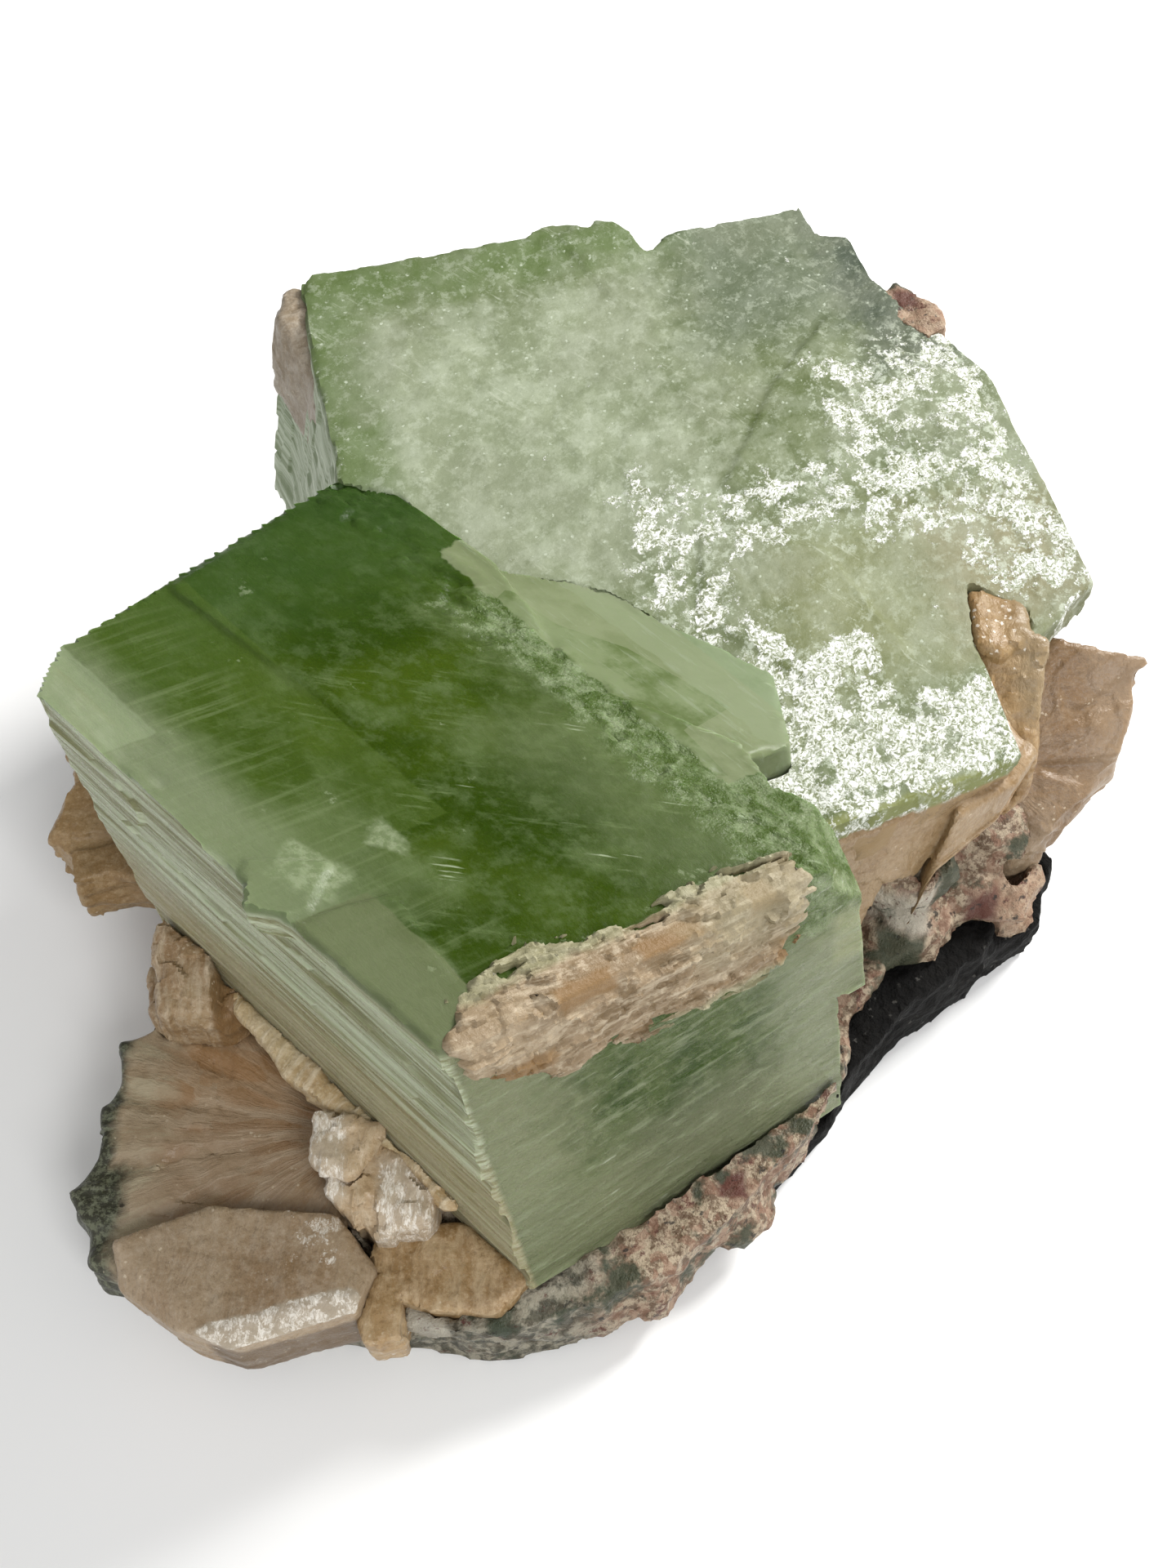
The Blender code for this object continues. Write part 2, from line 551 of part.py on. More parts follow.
basalt = joined("basalt_base", basalt_base())
boolean(basalt, below(TABLE), "DIFFERENCE")
boolean(basalt, basalt_room(0.0), "INTERSECT")
clear_of(basalt, earlier)
parts.append((basalt, BASALT))

for part, _ in parts:
    tidy(part)

# The specimen's box is centred over the origin and scaled from millimetres to metres.
low = Vector([min(v.co[k] for part, _ in parts for v in part.data.vertices) for k in range(3)])
high = Vector([max(v.co[k] for part, _ in parts for v in part.data.vertices) for k in range(3)])
shift = Vector((-(low.x + high.x) / 2, -(low.y + high.y) / 2, -low.z))
for part, (name, colour, roughness) in parts:
    part.data.transform(Matrix.Scale(MM, 4) @ Matrix.Translation(shift))
    part.data.materials.clear()
    part.data.materials.append(bpy.data.materials.get(name) or material(name, colour, roughness))
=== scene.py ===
import itertools
import math

import bpy
import numpy as np
from mathutils import Matrix, Vector, noise


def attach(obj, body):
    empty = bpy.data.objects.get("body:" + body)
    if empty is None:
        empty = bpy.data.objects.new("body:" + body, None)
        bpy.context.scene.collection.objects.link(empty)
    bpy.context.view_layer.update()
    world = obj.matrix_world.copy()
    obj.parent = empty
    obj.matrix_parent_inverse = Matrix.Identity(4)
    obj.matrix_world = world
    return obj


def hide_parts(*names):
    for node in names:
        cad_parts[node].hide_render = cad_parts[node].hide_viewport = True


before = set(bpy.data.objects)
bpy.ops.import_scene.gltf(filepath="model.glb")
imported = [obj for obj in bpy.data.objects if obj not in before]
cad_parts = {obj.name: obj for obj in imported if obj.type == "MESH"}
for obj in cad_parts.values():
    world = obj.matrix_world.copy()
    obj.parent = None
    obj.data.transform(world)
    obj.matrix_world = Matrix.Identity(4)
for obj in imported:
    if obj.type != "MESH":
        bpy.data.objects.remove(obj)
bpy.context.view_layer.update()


# ---- table, light and camera --------------------------------------------------------------
# The specimen lies on a pale matt table. A soft light stands behind it to the right and
# another in front to the right, in a pale room that is brighter in front than behind.
def matt_table(name, colour):
    paint = bpy.data.materials.new(name)
    paint.use_nodes = True
    shader = paint.node_tree.nodes["Principled BSDF"]
    mottle = paint.node_tree.nodes.new("ShaderNodeTexNoise")
    mottle.inputs["Scale"].default_value = 9.0
    tone = paint.node_tree.nodes.new("ShaderNodeMix")
    tone.data_type = "RGBA"
    tone.inputs[6].default_value = (*colour, 1.0)
    tone.inputs[7].default_value = (*[c * 0.985 for c in colour], 1.0)
    paint.node_tree.links.new(mottle.outputs["Fac"], tone.inputs["Factor"])
    paint.node_tree.links.new(tone.outputs[2], shader.inputs["Base Color"])
    shader.inputs["Roughness"].default_value = 0.9
    shader.inputs["Specular IOR Level"].default_value = 0.1
    return paint


def table_top(half_width, gap):
    """A flat top, a hair below the specimen's underside."""
    mesh = bpy.data.meshes.new("table_top")
    corners = [(x * half_width, y * half_width, -gap) for x, y in ((-1, -1), (1, -1), (1, 1), (-1, 1))]
    mesh.from_pydata(corners, [], [(0, 1, 2, 3)])
    table = bpy.data.objects.new("table_top", mesh)
    bpy.context.scene.collection.objects.link(table)
    mesh.materials.append(matt_table("pale_table", (0.93, 0.93, 0.925)))


def soft_light(name, direction, distance, size, power, colour):
    """A square soft light that looks at the middle of the specimen."""
    lamp = bpy.data.lights.new(name, "AREA")
    lamp.shape = "SQUARE"
    lamp.size = size
    lamp.energy = power
    lamp.color = colour
    thing = bpy.data.objects.new(name, lamp)
    away = Vector(direction).normalized()
    thing.location = LIT_PLACE + away * distance
    thing.rotation_euler = away.to_track_quat("Z", "Y").to_euler()
    bpy.context.scene.collection.objects.link(thing)


def pale_room(front, behind):
    """Light from all round, of one strength in front and another behind."""
    sky = bpy.data.worlds.new("pale_room")
    sky.use_nodes = True
    tree = sky.node_tree
    place = tree.nodes.new("ShaderNodeTexCoord")
    split = tree.nodes.new("ShaderNodeSeparateXYZ")
    span = tree.nodes.new("ShaderNodeMapRange")
    tree.links.new(place.outputs["Generated"], split.inputs[0])
    tree.links.new(split.outputs["Y"], span.inputs["Value"])
    span.inputs["From Min"].default_value = -0.4
    span.inputs["From Max"].default_value = 0.6
    span.inputs["To Min"].default_value = front
    span.inputs["To Max"].default_value = behind
    tree.links.new(span.outputs["Result"], tree.nodes["Background"].inputs["Strength"])
    tree.nodes["Background"].inputs["Color"].default_value = (1.0, 1.0, 1.0, 1.0)
    bpy.context.scene.world = sky


LIT_PLACE = Vector((0.0, 0.0, 0.03))
table_top(half_width=6.0, gap=0.0002)
soft_light("back_right_light", (0.62, 0.50, 0.60), distance=0.60, size=0.18, power=5.0,
           colour=(1.0, 0.99, 0.97))
soft_light("front_right_light", (0.36, -0.66, 0.72), distance=0.75, size=0.24, power=2.2,
           colour=(1.0, 1.0, 1.0))
pale_room(front=0.80, behind=0.16)
bpy.context.scene.view_settings.view_transform = "Standard"

CAMERA_LIFT = math.radians(55)
CAMERA_REACH = 0.125
CAMERA_AIM = Vector((-0.001236, -0.039535, 0.067))
lens = bpy.data.cameras.new("camera")
lens.lens = 36.0
lens.sensor_width = 36.0
lens.clip_start = 0.001
camera = bpy.data.objects.new("camera", lens)
camera.location = CAMERA_AIM + CAMERA_REACH * Vector((0, -math.cos(CAMERA_LIFT), math.sin(CAMERA_LIFT)))
camera.rotation_euler = (math.radians(90) - CAMERA_LIFT, 0, 0)
bpy.context.scene.collection.objects.link(camera)
bpy.context.scene.camera = camera


# ---- front green crystal --------------------------------------------------------------------
# A single rhomb of moss-green calcite, cloudy inside, with a smooth top, a left side built of
# thin growth layers, a hackly front and a shattered right end. It grew where it stands.
FRONT_CORNER = Vector((-12.836, -57.335, 54.6))        # its top corner nearest the front, mm
FRONT_AXES = (Vector((-0.7142, 0.6997, 0.0182)),       # back along the left edge
              Vector((0.8208, 0.5456, -0.1690)),       # along the near ridge to the right
              Vector((0.1382, -0.1285, -0.9820)))      # down
FRONT_CELL = (0.5, 0.48, 0.36)                         # mesh cell along each of them, mm
UNDER_CAP = ((0.1, 0.6, 0.1), (9.0, 38.0, 14.0))       # the ridge is whole below its cap
MM = 0.001


def axes_matrix(axes, origin, cell):
    """Turns whole cells counted along three slanting axes into metres."""
    columns = [axis * size for axis, size in zip(axes, cell)]
    turn = Matrix([[columns[k][row] for k in range(3)] for row in range(3)]).to_4x4()
    return Matrix.Scale(MM, 4) @ Matrix.Translation(origin) @ turn


def with_box(mesh, low, high):
    """The same mesh with a box added to it."""
    corners = list(itertools.product(*zip(low, high)))
    sides = [(0, 1, 3, 2), (4, 6, 7, 5), (0, 4, 5, 1), (2, 3, 7, 6), (0, 2, 6, 4), (1, 5, 7, 3)]
    points = [tuple(v.co) for v in mesh.vertices]
    faces = [tuple(p.vertices) for p in mesh.polygons]
    faces += [tuple(len(points) + k for k in side) for side in sides]
    both = bpy.data.meshes.new(mesh.name)
    both.from_pydata(points + corners, [], faces)
    return both


def fine_copy(node, name, axes, origin, cell, soften=0, box=None):
    """A new piece with a solid's shape, meshed in small cells that follow the given axes."""
    placing = axes_matrix(axes, origin, cell)
    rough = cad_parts[node].data.copy()
    rough.transform(placing.inverted())
    if box:
        rough = with_box(rough, *[[n / size for n, size in zip(corner, cell)] for corner in box])
    piece = bpy.data.objects.new(name, rough)
    bpy.context.scene.collection.objects.link(piece)
    grid = piece.modifiers.new("grid", "REMESH")
    grid.mode = "VOXEL"
    grid.voxel_size = 1.0
    grid.adaptivity = 0.0
    if soften:
        worn = piece.modifiers.new("worn", "SMOOTH")
        worn.iterations = soften
    seen = bpy.context.evaluated_depsgraph_get()
    fine = bpy.data.meshes.new_from_object(piece.evaluated_get(seen))
    piece.modifiers.clear()
    piece.data = fine
    fine.transform(placing)
    if placing.determinant() < 0:
        fine.flip_normals()
    fine.name = name
    fine.materials.clear()
    return piece


def points_and_normals(piece):
    """Every point of a piece in millimetres, and the way the surface faces there."""
    count = len(piece.data.vertices)
    points = np.zeros(count * 3)
    normals = np.zeros(count * 3)
    piece.data.vertices.foreach_get("co", points)
    piece.data.vertices.foreach_get("normal", normals)
    return points.reshape(-1, 3) / MM, normals.reshape(-1, 3)


def move_points(piece, points):
    piece.data.vertices.foreach_set("co", (points * MM).astype(np.float32).ravel())
    piece.data.update()


def draw(cells, seed):
    """A fixed random number from -1 to 1 for each whole-numbered cell."""
    key = cells.astype(np.int64) @ np.array([73856093, 19349663, 83492791]) + seed * 7919
    key = (key ^ (key >> 13)) * 1274126177 & 0xFFFFFFFF
    key = (key ^ (key >> 15)) * 2246822519 & 0xFFFFFFFF
    return ((key >> 8) & 0xFFFF) / 32767.5 - 1.0


def blocks(places, seed):
    """Flat random heights over unit cells."""
    return draw(np.floor(places), seed)


def waves(places, seed):
    """Smooth random heights from -1 to 1, with hills about one unit apart."""
    base = np.floor(places)
    share = places - base
    share = share * share * (3 - 2 * share)
    total = np.zeros(len(places))
    for corner in itertools.product((0, 1), repeat=3):
        weight = np.prod(np.where(np.array(corner) == 1, share, 1 - share), axis=1)
        total += weight * draw(base + corner, seed)
    return total


def plates(places, seed):
    """Random flat plates, each at its own height and with its own slight slope."""
    base = np.floor(places)
    nearest = np.full(len(places), 1e9)
    height = np.zeros(len(places))
    for side, ahead in itertools.product((-1, 0, 1), repeat=2):
        cell = base + np.array([side, ahead, 0])
        gap = places - cell - 0.5
        gap[:, 0] -= 0.45 * draw(cell, seed)
        gap[:, 1] -= 0.45 * draw(cell, seed + 1)
        far = gap[:, 0] ** 2 + gap[:, 1] ** 2
        here = draw(cell, seed + 4) + draw(cell, seed + 2) * gap[:, 0] + draw(cell, seed + 3) * gap[:, 1]
        height = np.where(far < nearest, here, height)
        nearest = np.minimum(far, nearest)
    return height


def stretched(places, x, y, z):
    return places * np.array([x, y, z])


def push(amounts, ways):
    """A move for every point: its amount along one way for all, or along its own."""
    return amounts[:, None] * np.array(ways)


def facing(normals, direction):
    """How squarely the surface faces a direction: 0 from 60 degrees off, 1 straight on."""
    return np.clip((normals @ np.array(direction) - 0.5) * 2.0, 0, 1)


def between(value, low, high):
    """0 below low, 1 above high, smooth in between."""
    share = np.clip((value - low) / (high - low), 0, 1)
    return share * share * (3 - 2 * share)


def along_axes(points, axes, origin):
    """Distances in mm along the three slanting axes."""
    back = np.linalg.inv(np.array([list(axis) for axis in axes]).T)
    return (points - np.array(origin)) @ back.T


front = fine_copy("front_green_crystal", "front_green_calcite", FRONT_AXES, FRONT_CORNER,
                  FRONT_CELL, box=UNDER_CAP)
points, normals = points_and_normals(front)
place = along_axes(points, FRONT_AXES, FRONT_CORNER)
back, right, down = place.T
TOP_WAY = FRONT_AXES[1].cross(FRONT_AXES[0]).normalized()
LEFT_WAY = FRONT_AXES[0].cross(FRONT_AXES[2]).normalized()
FRONT_WAY = FRONT_AXES[2].cross(FRONT_AXES[1]).normalized()
on_top = facing(normals, TOP_WAY)
on_left = facing(normals, LEFT_WAY)
on_front = facing(normals, FRONT_WAY)
saddle = between(right + 1.5 * waves(place * 0.2, 5), 41.5, 42.5) * between(down, 9, 7)
shattered = between(right + 3 * waves(place * 0.12, 3), 33, 38) * (1 - saddle)

top_rise = 0.08 * waves(stretched(place, 0.05, 0.09, 0), 11)
top_rise += 0.03 * np.round(2.0 * waves(stretched(place, 0.05, 0.30, 0), 12))
broken = stretched(place, 0.38, 0.42, 0)
broken[:, :2] += 0.4 * waves(place * 0.5, 15)[:, None]
top_rise += shattered * (0.22 * plates(broken, 13) + 0.10 * plates(2.3 * broken, 18))
top_rise += shattered * 0.14 * waves(stretched(place, 0.8, 1.0, 0), 14)
top_rise -= 0.16 * (between(back, 40, 42) * (1 - between(right, 3.1, 3.5)))
side_rise = 0.42 * np.round(1.6 * waves(stretched(place, 0.018, 0, 0.17), 21))
side_rise += 0.26 * waves(stretched(place, 0.03, 0, 0.55), 22)
side_rise += 0.16 * waves(stretched(place, 0.05, 0, 1.3), 23)
streak = np.stack([back * 0, right * 0.14 - down * 0.03, right * 0.25 + down * 0.8], axis=1)
face_rise = 0.20 * waves(stretched(place, 0, 0.1, 0.1), 31) + 0.10 * waves(streak, 32)
face_rise += 0.08 * blocks(stretched(streak, 1, 1.4, 1.3), 33)
lift = push(on_top * top_rise, TOP_WAY)
lift += push(on_left * side_rise, LEFT_WAY)
lift += push(on_front * face_rise, FRONT_WAY)
rest = np.clip(1 - on_top - on_left - on_front, 0, 1)
lift += push(rest * 0.55, normals)
rough = 0.30 * waves(place * 0.3, 41) + 0.18 * blocks(place * 0.5, 42)
rough *= rest * (1 - saddle) * (1 - 0.6 * between(back, 38, 48))
lift += push(rough, normals)
worn = np.clip(waves(place * 0.4, 51) - 0.25, 0, 1)
near_edge = np.exp(-np.minimum(np.maximum(np.abs(right), np.abs(down)),
                               np.maximum(np.abs(back), np.abs(down))) / 0.7)
lift -= push(worn * near_edge * 0.9, normals)
move_points(front, points + lift)


class Recipe:
    """Lays out the nodes of one material or group, step by step."""

    def __init__(self, tree):
        self.tree = tree

    def feed(self, socket, value):
        """Links a value to a socket, or sets a plain number, vector or colour on it."""
        if isinstance(value, bpy.types.NodeSocket):
            self.tree.links.new(value, socket)
        elif hasattr(socket.default_value, "__len__") and not hasattr(value, "__len__"):
            socket.default_value = [value] * len(socket.default_value)
        elif hasattr(value, "__len__") and len(value) == 3 and len(socket.default_value) == 4:
            socket.default_value = (*value, 1.0)
        else:
            socket.default_value = value

    def node(self, kind, settings=(), inputs=()):
        made = self.tree.nodes.new("ShaderNode" + kind)
        for name, value in dict(settings).items():
            setattr(made, name, value)
        for name, value in dict(inputs).items():
            self.feed(made.inputs[name], value)
        return made

    def math(self, operation, a, b=0.0):
        return self.node("Math", {"operation": operation}, {0: a, 1: b}).outputs[0]

    def product(self, a, b):
        return self.math("MULTIPLY", a, b)

    def either(self, a, b):
        return self.math("MAXIMUM", a, b)

    def arrow(self, operation, a, b=(0.0, 0.0, 0.0)):
        made = self.node("VectorMath", {"operation": operation}, {0: a, 1: b})
        return made.outputs["Value" if operation in ("DOT_PRODUCT", "LENGTH") else "Vector"]

    def scaled(self, where, x, y, z):
        return self.arrow("MULTIPLY", where, (x, y, z))

    def times(self, where, factor):
        return self.node("VectorMath", {"operation": "SCALE"}, {0: where, "Scale": factor}).outputs[0]

    def turned(self, where, angle, about="Z_AXIS"):
        return self.node("VectorRotate", {"rotation_type": about},
                         {"Vector": where, "Angle": angle}).outputs[0]

    def parts(self, where):
        return self.node("SeparateXYZ", {}, {0: where}).outputs

    def joined(self, x, y, z=0.0):
        return self.node("CombineXYZ", {}, {0: x, 1: y, 2: z}).outputs[0]

    def cloud(self, where, scale=1.0, detail=3.0, rough=0.55):
        return self.node("TexNoise", {}, {"Vector": where, "Scale": scale, "Detail": detail,
                                          "Roughness": rough}).outputs["Fac"]

    def drift(self, where, scale, detail):
        """Noise that is different along each of the three directions."""
        return self.node("TexNoise", {}, {"Vector": where, "Scale": scale,
                                          "Detail": detail}).outputs["Color"]

    def grains(self, where, scale=1.0):
        return self.node("TexVoronoi", {}, {"Vector": where, "Scale": scale})

    def ramp(self, value, low, high):
        """0 at low, 1 at high, smooth in between."""
        return self.node("MapRange", {"interpolation_type": "SMOOTHSTEP"},
                         {"Value": value, "From Min": low, "From Max": high}).outputs["Result"]

    def mixed(self, share, a, b):
        return self.node("Mix", {"data_type": "RGBA"},
                         {"Factor": share, 6: a, 7: b}).outputs[2]

    def lay(self, colour, mask, share, tone):
        """A tone laid over a colour where the mask is, at a share of its strength."""
        return self.mixed(self.product(mask, share), colour, tone)

    def levels(self, share, a, b):
        """From a to b as the share goes from 0 to 1."""
        return self.math("ADD", a, self.product(share, self.math("SUBTRACT", b, a)))

    def bump(self, height, distance, strength=1.0, normal=None):
        made = self.node("Bump", {}, {"Height": height, "Distance": distance, "Strength": strength})
        if normal is not None:
            self.feed(made.inputs["Normal"], normal)
        return made.outputs["Normal"]

    def group(self, name, inputs):
        made = self.tree.nodes.new("ShaderNodeGroup")
        made.node_tree = bpy.data.node_groups[name]
        for key, value in inputs.items():
            self.feed(made.inputs[key], value)
        return made.outputs[0]


def place_in_mm(recipe):
    """The place on the specimen, counted in millimetres."""
    return recipe.scaled(recipe.node("TexCoord").outputs["Object"], 1000, 1000, 1000)


def new_group(name, inputs, output, output_kind):
    """An empty shared effect with named inputs and one named output."""
    tree = bpy.data.node_groups.new(name, "ShaderNodeTree")
    for key, kind in inputs:
        tree.interface.new_socket(key, in_out="INPUT", socket_type="NodeSocket" + kind)
    tree.interface.new_socket(output, in_out="OUTPUT", socket_type="NodeSocket" + output_kind)
    recipe = Recipe(tree)
    given = tree.nodes.new("NodeGroupInput").outputs
    result = tree.nodes.new("NodeGroupOutput").inputs[output]
    return recipe, given, result


def make_slanted_place():
    """Position in millimetres along three slanting axes, from a corner."""
    r, given, result = new_group("slanted_place", [("Corner", "Vector"), ("First", "Vector"),
                                                   ("Second", "Vector"), ("Third", "Vector")],
                                 "Place", "Vector")
    spot = r.arrow("SUBTRACT", place_in_mm(r), given["Corner"])
    parts = [r.arrow("DOT_PRODUCT", spot, given[name]) for name in ("First", "Second", "Third")]
    r.tree.links.new(r.joined(*parts), result)


def make_zone():
    """1 inside a box of places, 0 outside, with soft and ragged sides."""
    r, given, result = new_group("zone", [("Place", "Vector"), ("Low", "Vector"), ("High", "Vector"),
                                          ("Soft", "Float"), ("Ragged", "Float")], "Mask", "Float")
    drift = r.arrow("SUBTRACT", r.drift(given["Place"], 0.35, 3.0), (0.5, 0.5, 0.5))
    spot = r.arrow("ADD", given["Place"], r.times(drift, given["Ragged"]))
    inner = r.arrow("MINIMUM", r.arrow("SUBTRACT", spot, given["Low"]),
                    r.arrow("SUBTRACT", given["High"], spot))
    first, second, third = r.parts(inner)
    depth = r.math("MINIMUM", first, r.math("MINIMUM", second, third))
    half = r.product(given["Soft"], 0.5)
    mask = r.node("MapRange", {"interpolation_type": "SMOOTHSTEP"},
                  {"Value": depth, "From Min": r.product(half, -1.0), "From Max": half})
    r.tree.links.new(mask.outputs["Result"], result)


def make_flecks():
    """Small scattered bright flecks: cells of a given size, of which a share shows."""
    r, given, result = new_group("flecks", [("Place", "Vector"), ("Size", "Float"),
                                            ("Share", "Float")], "Mask", "Float")
    spot = r.times(given["Place"], r.math("DIVIDE", 1.0, given["Size"]))
    cell = r.grains(r.arrow("ADD", spot, r.drift(spot, 1.7, 2.0)))
    lucky = r.parts(cell.outputs["Color"])[0]
    chosen = r.math("LESS_THAN", lucky, given["Share"])
    core = r.ramp(cell.outputs["Distance"], 0.5, 0.2)
    r.tree.links.new(r.product(chosen, core), result)


def make_patch():
    """Sharp, torn outlines round the places where a soft share is high."""
    r, given, result = new_group("patch", [("Place", "Vector"), ("Size", "Float"),
                                           ("Share", "Float")], "Mask", "Float")
    spot = r.times(given["Place"], r.math("DIVIDE", 1.0, given["Size"]))
    torn = r.cloud(spot, 1.0, 6, 0.72)
    raised = r.math("ADD", given["Share"], r.levels(torn, -1.5, 1.5))
    r.tree.links.new(r.ramp(raised, 0.46, 0.60), result)


def make_foil():
    """Crumpled like foil: bright folds between thin dark creases."""
    r, given, result = new_group("foil", [("Place", "Vector"), ("Size", "Float")], "Mask", "Float")
    spot = r.times(given["Place"], r.math("DIVIDE", 1.0, given["Size"]))
    folds = r.node("TexNoise", {}, {"Vector": spot, "Scale": 1.0, "Detail": 4.0,
                                    "Roughness": 0.68, "Distortion": 1.4})
    r.tree.links.new(r.ramp(folds.outputs["Fac"], 0.34, 0.66), result)


def make_glints():
    """Normal tilted a different way in every small grain, as on an etched or broken face."""
    r, given, result = new_group("glints", [("Place", "Vector"), ("Size", "Float"),
                                            ("Tilt", "Float")], "Normal", "Vector")
    spot = r.times(given["Place"], r.math("DIVIDE", 1.0, given["Size"]))
    cell = r.grains(r.arrow("ADD", spot, r.drift(spot, 1.3, 2.0)))
    turn = r.times(r.arrow("SUBTRACT", cell.outputs["Color"], (0.5, 0.5, 0.5)), given["Tilt"])
    whole = r.arrow("ADD", r.node("NewGeometry").outputs["Normal"], turn)
    r.tree.links.new(r.arrow("NORMALIZE", whole), result)


for make in (make_slanted_place, make_zone, make_flecks, make_patch, make_foil, make_glints):
    make()


def new_material(name):
    paint = bpy.data.materials.new(name)
    paint.use_nodes = True
    return paint, paint.node_tree.nodes["Principled BSDF"], Recipe(paint.node_tree)


def slanted_place(recipe, axes, corner):
    """The place along the axes of a crystal: rows of the inverse of its axes."""
    rows = np.linalg.inv(np.array([list(axis) for axis in axes]).T)
    return recipe.group("slanted_place", {"Corner": tuple(corner), "First": tuple(rows[0]),
                                          "Second": tuple(rows[1]), "Third": tuple(rows[2])})


def zone(recipe, where, low, high, soft, ragged):
    return recipe.group("zone", {"Place": where, "Low": low, "High": high, "Soft": soft,
                                 "Ragged": ragged})


FAR = 400.0            # beyond every side of the specimen, mm


